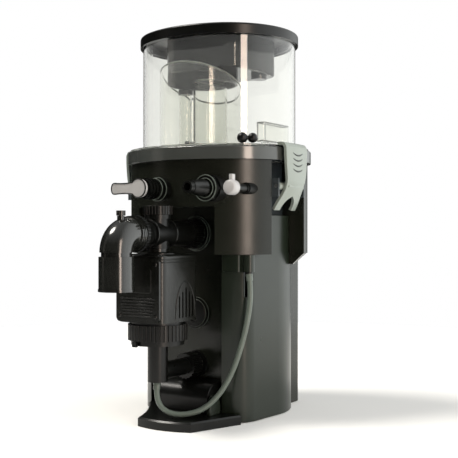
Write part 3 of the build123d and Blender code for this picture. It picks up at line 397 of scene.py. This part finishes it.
def addPiece(name, shape, body, slotName, replaced=(), bevelMm=0.0, thickMm=0.0, smoothLevels=0, skin=None):
    # shape is built in mm; skin is the material, where it isn't the slot's own
    bmesh.ops.recalc_face_normals(shape, faces=shape.faces)
    bmesh.ops.scale(shape, vec=(mm, mm, mm), verts=shape.verts)
    mesh = bpy.data.meshes.new(name)
    shape.to_mesh(mesh)
    shape.free()
    mesh.shade_smooth()
    mesh.set_sharp_from_angle(angle=math.radians(38))
    mesh.materials.append(skin or finishes[slotName])
    piece = bpy.data.objects.new(name, mesh)
    scene.collection.objects.link(piece)
    if thickMm:
        shell = piece.modifiers.new("thickness", "SOLIDIFY")
        shell.thickness = thickMm * mm
        shell.offset = 0.0
    if bevelMm:
        edge = piece.modifiers.new("edges", "BEVEL")
        edge.width = bevelMm * mm
        edge.segments = 3
        edge.limit_method = "ANGLE"
    if smoothLevels:
        finer = piece.modifiers.new("smoothing", "SUBSURF")
        finer.levels = smoothLevels
        finer.render_levels = smoothLevels
    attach(piece, body)
    if replaced:
        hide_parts(*replaced)


def axisFrame(origin, along):
    # matrix whose Z runs along the given direction from the origin
    return Matrix.Translation(Vector(origin)) @ Vector(along).to_track_quat("Z", "Y").to_matrix().to_4x4()


def circleOf(radius, steps):
    turns = [2 * math.pi * step / steps for step in range(steps)]
    return [(radius * math.cos(turn), radius * math.sin(turn)) for turn in turns]


def raise2d(shape, place, outline, height=0.0):
    # corners made from a flat outline, at a height in the given matrix
    return [shape.verts.new(place @ Vector((x, y, height))) for x, y in outline]


def lathe(shape, origin, along, profile, steps=48, closed=True):
    # profile points are (radius, distance along the axis); a closed profile makes a ring
    place = axisFrame(origin, along)
    rings = []
    for radius, height in profile:
        outline = circleOf(radius, steps) if radius > 1e-4 else [(0, 0)]
        rings.append(raise2d(shape, place, outline, height))
    pairs = list(zip(rings, rings[1:])) + ([(rings[-1], rings[0])] if closed else [])
    for lower, upper in pairs:
        if len(lower) == 1 and len(upper) == 1:
            continue
        for step in range(steps):
            after = (step + 1) % steps
            if len(lower) == 1:
                shape.faces.new((lower[0], upper[step], upper[after]))
            elif len(upper) == 1:
                shape.faces.new((lower[step], upper[0], lower[after]))
            else:
                shape.faces.new((lower[step], upper[step], upper[after], lower[after]))


def beadProfile(radius, thick, height, rounds=8):
    # round bead, as the section of an O-ring
    return [(radius + x, height + y) for x, y in circleOf(thick, rounds)]


def prism(shape, outline, place, depth):
    # outline in the XY plane of the given matrix, pulled up by depth
    lower = raise2d(shape, place, outline)
    upper = raise2d(shape, place, outline, depth)
    shape.faces.new(lower)
    shape.faces.new(upper)
    for index in range(len(outline)):
        after = (index + 1) % len(outline)
        shape.faces.new((lower[index], lower[after], upper[after], upper[index]))


def roundedRectangle(width, height, radius, steps=6):
    points = []
    for cornerX, cornerY, start in ((1, 1, 0), (-1, 1, 90), (-1, -1, 180), (1, -1, 270)):
        for step in range(steps + 1):
            turn = math.radians(start + 90 * step / steps)
            points.append((cornerX * (width / 2 - radius) + radius * math.cos(turn),
                           cornerY * (height / 2 - radius) + radius * math.sin(turn)))
    return points


def tube(shape, path, radius, sides=10, endShare=0.45):
    # round bar through a list of points, narrower and closed at its ends
    rings = []
    last = len(path) - 1
    for index, point in enumerate(path):
        ahead = (path[min(index + 1, last)] - path[max(index - 1, 0)]).normalized()
        size = radius * (endShare if index in (0, last) else 1.0)
        rings.append(raise2d(shape, axisFrame(point, ahead), circleOf(size, sides)))
    for lower, upper in zip(rings, rings[1:]):
        for step in range(sides):
            after = (step + 1) % sides
            shape.faces.new((lower[step], lower[after], upper[after], upper[step]))
    shape.faces.new(rings[0])
    shape.faces.new(rings[-1])


def loopTube(shape, path, radius, sides=8):
    # round bar through a closed list of points
    rings = []
    count = len(path)
    for index, point in enumerate(path):
        ahead = (path[(index + 1) % count] - path[index - 1]).normalized()
        rings.append(raise2d(shape, axisFrame(point, ahead), circleOf(radius, sides)))
    for index in range(count):
        lower, upper = rings[index], rings[(index + 1) % count]
        # the frames may turn between two points, so each ring is joined at its nearest corner
        shift = min(range(sides), key=lambda k: (upper[k].co - lower[0].co).length)
        for step in range(sides):
            after = (step + 1) % sides
            shape.faces.new((lower[step], lower[after],
                             upper[(after + shift) % sides], upper[(step + shift) % sides]))


def alongPath(points, share):
    # place at a share of the way through a list of points
    spot = share * (len(points) - 1)
    index = min(int(spot), len(points) - 2)
    part = spot - index
    return [a + (b - a) * part for a, b in zip(points[index], points[index + 1])]


def towardsFront(x, y, z):
    # matrix whose XY plane stands upright and whose Z runs out of the front
    return Matrix.Translation((x, y, z)) @ Matrix.Rotation(math.radians(90), 4, "X")


latchFacts = {
    "thick": 4.2, "bevel": 0.9, "middle": -15.0, "crown": 1.6, "rows": 44, "halfColumns": 12,
    "archHalf": 15.0, "archRise": 17.0,
    # down the middle of the plate: distance out, height and half width
    "path": [(121.5, 361.4, 26.5), (127, 361.6, 27.5), (131.5, 360.6, 28), (134.0, 356.5, 28),
             (134.2, 345, 27.5), (134.2, 333, 26.5), (134.2, 322, 25), (133.4, 312, 23),
             (130.4, 303, 22.5), (126.0, 294, 24), (121.0, 285, 27), (115.6, 275.5, 28)],
}
latchRibFacts = {"radius": 1.2, "half": 15.0, "steps": 16, "above": [45, 38, 31, 24], "sag": 4.5,
                 "wrap": 1.4, "out": 135.8}
latchBarrelFacts = {
    "pinRadius": 2.5, "length": 64.0,
    "profile": [(2.6, 0), (4.2, 0), (4.8, 0.8), (4.8, 63.2), (4.2, 64), (2.6, 64)],
    "webWidth": 10.0, "webLength": 38.0, "webCorner": 1.5, "webOut": 6.5, "webDrop": 1.0, "webDepth": 5.0,
}
print("stage: latches")


def makeLatchPlate(side, name, node):
    facts = latchFacts
    half = facts["halfColumns"]
    shape = bmesh.new()
    rows = []
    foot = facts["path"][-1][1]
    for step in range(facts["rows"] + 1):
        out, height, width = alongPath(facts["path"], step / facts["rows"])
        rise = (height - foot) / facts["archRise"]
        arch = facts["archHalf"] * math.sqrt(max(0.0, 1 - rise ** 2))
        spread = [arch + (width - arch) * column / half for column in range(half + 1)]
        row = []
        for reach in [-far for far in reversed(spread)] + spread:
            bow = facts["crown"] * (reach / width) ** 2       # slightly crowned across its width
            row.append(shape.verts.new((side * (out - bow), facts["middle"] + reach, height)))
        rows.append(row)
    for upper, lower in zip(rows, rows[1:]):
        for column in range(2 * half + 1):
            if column != half:                   # the two halves meet on the middle line, above the arch
                shape.faces.new((upper[column], upper[column + 1], lower[column + 1], lower[column]))
    bmesh.ops.remove_doubles(shape, verts=shape.verts, dist=0.05)
    addPiece(name, shape, node, "latch_grey", (node,), bevelMm=facts["bevel"], thickMm=facts["thick"],
             smoothLevels=1)


def makeLatchRibs(side, name, body, pivotHeight):
    # grip ribs, each a shallow crescent across the plate, made in the dark green-grey finish as painted shade
    # in the grooves between them
    facts = latchRibFacts
    ribs = bmesh.new()
    for above in facts["above"]:
        bar = []
        for step in range(facts["steps"] + 1):
            across = -1 + 2 * step / facts["steps"]
            bar.append(Vector((side * (facts["out"] - facts["wrap"] * across ** 2),
                               latchFacts["middle"] + facts["half"] * across,
                               pivotHeight + above - facts["sag"] * (1 - across ** 2))))
        tube(ribs, bar, facts["radius"])
    # dark finish on the pale latch: painted groove shade, not the latch's own colour
    addPiece(name, ribs, body, "cover_green")


def makeLatchBarrel(side, name, body, pivotOut, pivotY, pivotHeight):
    # pivot barrel with the web that ties it to the plate
    facts = latchBarrelFacts
    barrel = bmesh.new()
    start = (side * pivotOut, pivotY - facts["length"] / 2, pivotHeight)
    lathe(barrel, start, (0, 1, 0), facts["profile"], steps=32)
    web = Matrix.Translation((side * (pivotOut + facts["webOut"]), latchFacts["middle"],
                              pivotHeight - facts["webDrop"]))
    outline = roundedRectangle(facts["webWidth"], facts["webLength"], facts["webCorner"])
    prism(barrel, outline, web, facts["webDepth"])
    addPiece(name, barrel, body, "latch_grey")


def makeLatches():
    pivotOut = corners("latch_pins")[1][0] - latchBarrelFacts["pinRadius"]
    _, pivotY, pivotHeight = middle("latch_pins")
    for side, word, node in ((1, "Right", "latch_right"), (-1, "Left", "latch_left")):
        name = "latchPlate" + word
        makeLatchPlate(side, name, node)
        makeLatchRibs(side, name + "Ribs", node, pivotHeight)
        makeLatchBarrel(side, name + "Barrel", node, pivotOut, pivotY, pivotHeight)


makeLatches()

leverFacts = {
    "hubFromTip": 45.0, "hubRadius": 11.8, "hubSweep": 142.0, "hubSteps": 24,
    # along the arm: distance from the hub and half width
    "arm": [(-20, 6.4), (-30, 6.4), (-38, 7.0)],
    "tipMiddle": -40.5, "tipReach": 4.0, "tipHalf": 6.9, "tipSteps": 8,
    "thick": 6.0, "rim": 1.5, "sink": 0.7, "bevel": 0.7, "lineBack": 1.6, "lineRadius": 0.9,
    "spindle": [(0, 0), (6.5, 0), (6.5, 2.0), (3, 2.6), (3, 30), (0, 30)],
}
print("stage: valve row")


def leverOutline():
    facts = leverFacts
    outline = []
    for step in range(facts["hubSteps"] + 1):
        turn = math.radians(facts["hubSweep"] * (2 * step / facts["hubSteps"] - 1))
        outline.append((facts["hubRadius"] * math.cos(turn), facts["hubRadius"] * math.sin(turn)))
    outline += facts["arm"]
    for step in range(facts["tipSteps"] + 1):
        turn = math.radians(90 + 180 * step / facts["tipSteps"])
        outline.append((facts["tipMiddle"] + facts["tipReach"] * math.cos(turn),
                        facts["tipHalf"] * math.sin(turn)))
    return outline + [(x, -z) for x, z in reversed(facts["arm"])]


def makeValveLever():
    # plate with a raised rim round a sunk face, on a spindle, and a black tube under its edge as a painted
    # shadow line
    facts = leverFacts
    low, high = corners("valve_lever")
    hubX, front, hubZ = low[0] + facts["hubFromTip"], low[1], (low[2] + high[2]) / 2
    outline = leverOutline()
    shape = bmesh.new()
    place = towardsFront(hubX, front + facts["thick"] + facts["sink"], hubZ)
    prism(shape, outline, place, facts["thick"])
    shape.faces.ensure_lookup_table()
    face = min(shape.faces, key=lambda f: f.calc_center_median().y)
    bmesh.ops.inset_individual(shape, faces=[face], thickness=facts["rim"], depth=0)
    bmesh.ops.translate(shape, verts=face.verts, vec=(0, facts["sink"], 0))
    lathe(shape, (hubX, front + facts["thick"], hubZ), (0, 1, 0), facts["spindle"], steps=32, closed=False)
    addPiece("valveLever", shape, "valve_lever", "light_grey", ("valve_lever",),
             bevelMm=facts["bevel"])
    # painted shadow: a thin black tube round the lever's edge, standing in for the shade under it
    line = bmesh.new()
    edge = [Vector((hubX + x, front + facts["lineBack"], hubZ + z)) for x, z in outline]
    loopTube(line, edge, facts["lineRadius"])
    addPiece("valveLeverShadowLine", line, "valve_lever", "black_plastic")


makeValveLever()

airKnobFacts = {
    "centreRise": 10.0, "bevel": 0.5,
    "knob": [(0, 0), (5.28, 0.2), (7.872, 1.2), (9.312, 3.4), (9.6, 6), (9.6, 13), (9.024, 14.6),
             (5.76, 15), (0, 15)],
    "stemFrom": 15.0, "stem": [(0, 0), (1.8, 0), (1.8, 20), (0, 20)],
    "tabWidth": 5.2, "tabDepth": 7.5, "tabCorner": 1.2, "tabBack": 9.5, "tabFrom": 8.0, "tabRise": 8.6,
}


def makeAirKnob():
    facts = airKnobFacts
    low, high = corners("air_valve_knob")
    centreX, front, centreZ = (low[0] + high[0]) / 2, low[1], low[2] + facts["centreRise"]
    shape = bmesh.new()
    lathe(shape, (centreX, front, centreZ), (0, 1, 0), facts["knob"], steps=40, closed=False)
    lathe(shape, (centreX, front + facts["stemFrom"], centreZ), (0, 1, 0), facts["stem"],
          steps=24, closed=False)
    tab = Matrix.Translation((centreX, front + facts["tabBack"], centreZ + facts["tabFrom"]))
    outline = roundedRectangle(facts["tabWidth"], facts["tabDepth"], facts["tabCorner"])
    prism(shape, outline, tab, facts["tabRise"])
    addPiece("airValveKnob", shape, "air_valve_knob", "light_grey", ("air_valve_knob",),
             bevelMm=facts["bevel"])


makeAirKnob()

ringFacts = {
    # nodes that give the axis across and in height, node and corner (0 low, 1 high) that
    # give the plane the distances start from, then each bead's radius and distance to the front
    "outletFlangeRings": {"across": "outlet_pipe", "height": "outlet_pipe", "plane": ("recess_panel", 0),
                          "beads": [(23.4, 1.0), (21.6, 3.8), (18.4, 6.8)], "thick": 0.75},
    "midPortRings": {"across": "outlet_pipe", "height": "mid_port_plug", "plane": ("recess_panel", 0),
                     "beads": [(20.6, 1.2), (18.0, 4.6), (13.2, 6.6)], "thick": 0.75},
    "suctionFlangeRings": {"across": "outlet_pipe", "height": "suction_flange", "plane": ("recess_panel", 0),
                           "beads": [(17.2, 1.2), (13.0, 4.4), (11.6, 24.0)], "thick": 0.75},
    "teeRings": {"across": "outlet_pipe", "height": "outlet_pipe", "plane": ("tee", 1),
                 "beads": [(17.3, 0.6), (17.3, 38.8)], "thick": 0.8, "slot": "gloss_pipe"},
    "barbRings": {"across": "barb_nut", "height": "barb_nut", "plane": ("barb_nut", 0),
                  "beads": [(16.4, 0.2), (12.2, 0.9)], "thick": 0.7},
    "valveRings": {"across": "valve_body", "height": "valve_body", "plane": ("valve_body", 1),
                   "beads": [(15.2, 12.6), (13.4, 19.0)], "thick": 0.7},
}
print("stage: rings and seals")


def makeRings():
    for name, facts in ringFacts.items():
        planeNode, corner = facts["plane"]
        centre = (middle(facts["across"])[0], corners(planeNode)[corner][1], middle(facts["height"])[2])
        shape = bmesh.new()
        for radius, distance in facts["beads"]:
            lathe(shape, centre, (0, -1, 0), beadProfile(radius, facts["thick"], distance), steps=64)
        addPiece(name, shape, "root", facts.get("slot", "hose_silicone"))


makeRings()

pumpBeadFacts = {"drops": [1.2, 4.6], "corner": 11.0, "radius": 0.8}
pumpReliefFacts = {"out": 0.6, "bevel": 0.4, "plaqueWidth": 44.0, "plaqueHeight": 30.0, "plaqueCorner": 3.0,
                   "plaqueAbove": 12.0, "plaqueDepth": 1.4, "ribCount": 7, "ribBelow": 10.0, "ribPitch": 3.6,
                   "ribWidth": 56.0, "ribShorter": 2.0, "ribHeight": 1.5, "ribCorner": 0.7, "ribDepth": 1.5}
pumpScrewFacts = {"across": 28.0, "fromTop": 7.0, "fromFoot": 8.0, "out": 0.2, "radius": 2.6}
louvreRimFacts = {"half": 21.0, "back": 9.0, "foot": 4.0, "rise": 46.0, "radius": 0.9, "out": 0.1,
                  "steps": 24}
pumpDeckFacts = {"above": 5.0, "profile": [(14.2, -0.5), (26, -0.5), (26, 0.9), (24.6, 1.8), (17, 1.8),
                                           (15.6, 2.6), (14.2, 2.6)]}
print("stage: pump trim")


def makePumpBeads():
    # two beads round the top of the housing
    facts = pumpBeadFacts
    low, high = corners("pump_housing")
    top = corners("pump_front_cover")[1][2]
    centreX, centreY, _ = middle("pump_housing")
    band = bmesh.new()
    for drop in facts["drops"]:
        outline = roundedRectangle(high[0] - low[0], high[1] - low[1], facts["corner"], steps=8)
        loopTube(band, [Vector((centreX + x, centreY + y, top - drop)) for x, y in outline], facts["radius"])
    addPiece("pumpTopBeads", band, "root", "pump_shell")


def makePumpRelief():
    # front cover: raised blank plaque with cross ribs under it
    facts = pumpReliefFacts
    centreX = middle("pump_housing")[0]
    middleZ = middle("pump_front_cover")[2]
    faceY = corners("pump_front_cover")[0][1] + facts["out"]
    relief = bmesh.new()
    outline = roundedRectangle(facts["plaqueWidth"], facts["plaqueHeight"], facts["plaqueCorner"])
    prism(relief, outline, towardsFront(centreX, faceY, middleZ + facts["plaqueAbove"]), facts["plaqueDepth"])
    for index in range(facts["ribCount"]):
        place = towardsFront(centreX, faceY, middleZ - facts["ribBelow"] - index * facts["ribPitch"])
        width = facts["ribWidth"] - facts["ribShorter"] * index
        outline = roundedRectangle(width, facts["ribHeight"], facts["ribCorner"])
        prism(relief, outline, place, facts["ribDepth"])
    addPiece("pumpFrontRelief", relief, "root", "pump_shell", bevelMm=facts["bevel"])


def screwHead(shape, origin, along, radius):
    # domed head with a cross recess left by its four raised quarters
    dome = [(0, -0.6), (radius, -0.6), (radius, 0.5), (radius * 0.8, 1.1), (0, 1.3)]
    lathe(shape, origin, along, dome, steps=24, closed=False)
    outline = roundedRectangle(radius * 0.5, radius * 0.5, radius * 0.12, 3)
    for turn in (45, 135, 225, 315):
        quarter = (axisFrame(origin, along) @ Matrix.Rotation(math.radians(turn), 4, "Z")
                   @ Matrix.Translation((radius * 0.42, 0, 1.0)))
        prism(shape, outline, quarter, 0.7)


def makePumpScrews():
    facts = pumpScrewFacts
    centreX = middle("pump_housing")[0]
    low, high = corners("pump_front_cover")
    screws = bmesh.new()
    for side in (-1, 1):
        for height in (high[2] - facts["fromTop"], low[2] + facts["fromFoot"]):
            head = (centreX + side * facts["across"], low[1] + facts["out"], height)
            screwHead(screws, head, (0, -1, 0), facts["radius"])
    addPiece("pumpCoverScrews", screws, "root", "pump_shell")


def makeLouvreRims():
    # arched rim round the cooling louvres on both cheeks
    facts = louvreRimFacts
    low, high = corners("pump_housing")
    centreY = middle("pump_housing")[1]
    for side, word, cheek in ((1, "Right", high[0]), (-1, "Left", low[0])):
        path = []
        for step in range(facts["steps"] + 1):
            across = -1 + 2 * step / facts["steps"]
            height = low[2] + facts["foot"] + facts["rise"] * math.sqrt(max(0.0, 1 - across ** 2))
            path.append(Vector((cheek + side * facts["out"],
                                centreY + facts["back"] + facts["half"] * across, height)))
        rim = bmesh.new()
        tube(rim, path, facts["radius"])
        addPiece("pumpLouvreRim" + word, rim, "root", "pump_shell")


def makePumpDeck():
    # raised disc on the top deck round the outlet limb
    deck = bmesh.new()
    pipeX, pipeY, _ = middle("tee")
    height = corners("pump_front_cover")[1][2] + pumpDeckFacts["above"]
    lathe(deck, (pipeX, pipeY, height), (0, 0, 1), pumpDeckFacts["profile"], steps=64)
    addPiece("pumpTopBoss", deck, "root", "pump_shell")


makePumpBeads()
makePumpRelief()
makePumpScrews()
makeLouvreRims()
makePumpDeck()

hoseCuffFacts = {"profile": [(3.4, 0), (4.4, 0), (4.9, 0.5), (4.9, 2.2), (4.4, 2.7), (4.3, 8.0), (3.8, 9.0),
                             (3.4, 9.0)]}
print("stage: hose ends and small fittings")


def makeHoseCuffs():
    for name, end, ahead in (("hoseCuffTop", hoseRoute[0], hoseRoute[1]),
                             ("hoseCuffLow", hoseRoute[-1], hoseRoute[-2])):
        shape = bmesh.new()
        along = (Vector(ahead) - Vector(end)).normalized()
        lathe(shape, end, along, hoseCuffFacts["profile"], steps=40)
        addPiece(name, shape, "root", "hose_silicone")


makeHoseCuffs()

podFacts = {"x": 62.0, "y": -104.0, "width": 6.0, "rise": 26.0, "depth": 24.0, "shoulder": 8.0,
            "archSteps": 12, "sink": 0.2, "bevel": 1.4}


def makeDrainPod():
    # arched tab standing on the plinth beside the low housing
    facts = podFacts
    half = facts["depth"] / 2
    outline = [(-half, 0), (half, 0)]
    for step in range(facts["archSteps"] + 1):
        turn = math.pi * step / facts["archSteps"]
        height = facts["shoulder"] + (facts["rise"] - facts["shoulder"]) * math.sin(turn)
        outline.append((half * math.cos(turn), height))
    shape = bmesh.new()
    foot = corners("plinth")[1][2] - facts["sink"]
    upright = Matrix.Rotation(math.radians(90), 4, "Z") @ Matrix.Rotation(math.radians(90), 4, "X")
    place = Matrix.Translation((facts["x"] - facts["width"] / 2, facts["y"], foot)) @ upright
    prism(shape, outline, place, facts["width"])
    addPiece("drainPod", shape, "root", "cover_green", bevelMm=facts["bevel"])


makeDrainPod()

cutEdgeFacts = {
    "rimSlope": 21.0, "rimInset": 1.5, "rimLift": 0.2, "rimBead": 1.4, "rimSteps": 72,
    "innerX": -4.0, "innerY": -15.0, "innerRadius": 23.0, "innerBead": 1.0,
    "standRadius": 9.6, "standRise": 3.6, "standBead": 0.7,
    "pocketInset": 1.8, "pocketCorner": 4.0, "pocketBelowTop": 0.8, "pocketAboveFoot": 7.0, "pocketBead": 0.9,
}
print("stage: cut edges of the cup")


def riserRim():
    # path round the oblique top of the riser tube, low at the back
    facts = cutEdgeFacts
    low, high = corners("riser_tube")
    centreX, centreY, _ = middle("riser_tube")
    radius = (high[0] - low[0]) / 2
    slope = math.tan(math.radians(facts["rimSlope"]))
    top = high[2] + facts["rimLift"] - radius * slope
    path = circleOf(radius - facts["rimInset"], facts["rimSteps"])
    return [Vector((centreX + x, centreY + y, top - y * slope)) for x, y in path]


def makeCutEdges():
    facts = cutEdgeFacts
    rim = bmesh.new()
    loopTube(rim, riserRim(), facts["rimBead"])
    innerLow, innerHigh = corners("inner_tube")
    lathe(rim, (facts["innerX"], facts["innerY"], innerHigh[2]), (0, 0, 1),
          beadProfile(facts["innerRadius"], facts["innerBead"], 0.0), steps=56)
    standX, standY, _ = middle("standpipe")
    lathe(rim, (standX, standY, innerLow[2] + facts["standRise"]), (0, 0, 1),
          beadProfile(facts["standRadius"], facts["standBead"], 0.0), steps=40)
    low, high = corners("cup_pocket")
    pocketX, pocketY, _ = middle("cup_pocket")
    outline = roundedRectangle(high[0] - low[0] - facts["pocketInset"],
                               high[1] - low[1] - facts["pocketInset"], facts["pocketCorner"])
    for height in (high[2] - facts["pocketBelowTop"], low[2] + facts["pocketAboveFoot"]):
        path = [Vector((pocketX + x, pocketY + y, height)) for x, y in outline]
        loopTube(rim, path, facts["pocketBead"])
    # pale beads on the cup's edges: partly sawn-sheet frosting, partly painted highlight
    addPiece("cupCutEdgesWithPaintedHighlight", rim, "cup", "clear_acrylic", skin=sawnEdgeAndHighlight)


makeCutEdges()

casingFacts = {"sideRadius": 99.0, "sideCentre": 15.0, "endCentre": 36.0, "bead": 0.9, "steps": 24,
               "collarOut": 16.4, "collarRise": 0.6, "flangeOut": 13.1, "flangeDrop": 1.35,
               "latchFrom": 100.0, "latchRoom": 31.0, "fewestPoints": 3}
print("stage: casing beads")


def ovalPoints(offset, height):
    # plan oval of the casing, four tangent arcs, offset outwards
    facts = casingFacts
    side, end = facts["sideCentre"], facts["endCentre"]
    join = math.atan2(end, side)
    endRadius = facts["sideRadius"] + math.hypot(side, end)
    arcs = [(side, 0, facts["sideRadius"], -join, join),
            (0, -end, endRadius, join, math.pi - join),
            (-side, 0, facts["sideRadius"], math.pi - join, math.pi + join),
            (0, end, endRadius, math.pi + join, 2 * math.pi - join)]
    points = []
    for centreX, centreY, radius, start, stop in arcs:
        for step in range(facts["steps"]):
            turn = start + (stop - start) * step / facts["steps"]
            reach = radius + offset
            place = (centreX + reach * math.cos(turn), centreY + reach * math.sin(turn), height)
            points.append(Vector(place))
    return points


def makeCollarBead():
    shape = bmesh.new()
    height = corners("collar_ring")[0][2] + casingFacts["collarRise"]
    loopTube(shape, ovalPoints(casingFacts["collarOut"], height), casingFacts["bead"])
    addPiece("collarLowerBead", shape, "root", "grey_ring")


def makeFlangeEdge():
    # the sawn edge of the cup's clear flange, a pale bead that is partly painted highlight, open where the
    # latches hook over it; the oval is walked twice, so that each stretch is met whole at least once
    facts = casingFacts
    height = corners("cup_floor")[1][2] - facts["flangeDrop"]
    shape = bmesh.new()
    stretch = []
    for point in ovalPoints(facts["flangeOut"], height) * 2:
        byLatch = abs(point.y - latchFacts["middle"]) < facts["latchRoom"]
        if abs(point.x) > facts["latchFrom"] and byLatch:
            if len(stretch) >= facts["fewestPoints"]:
                tube(shape, stretch, facts["bead"])
            stretch = []
            continue
        stretch.append(point)
    addPiece("cupFlangeEdge", shape, "cup", "clear_acrylic", skin=sawnEdgeAndHighlight)


makeCollarBead()
makeFlangeEdge()
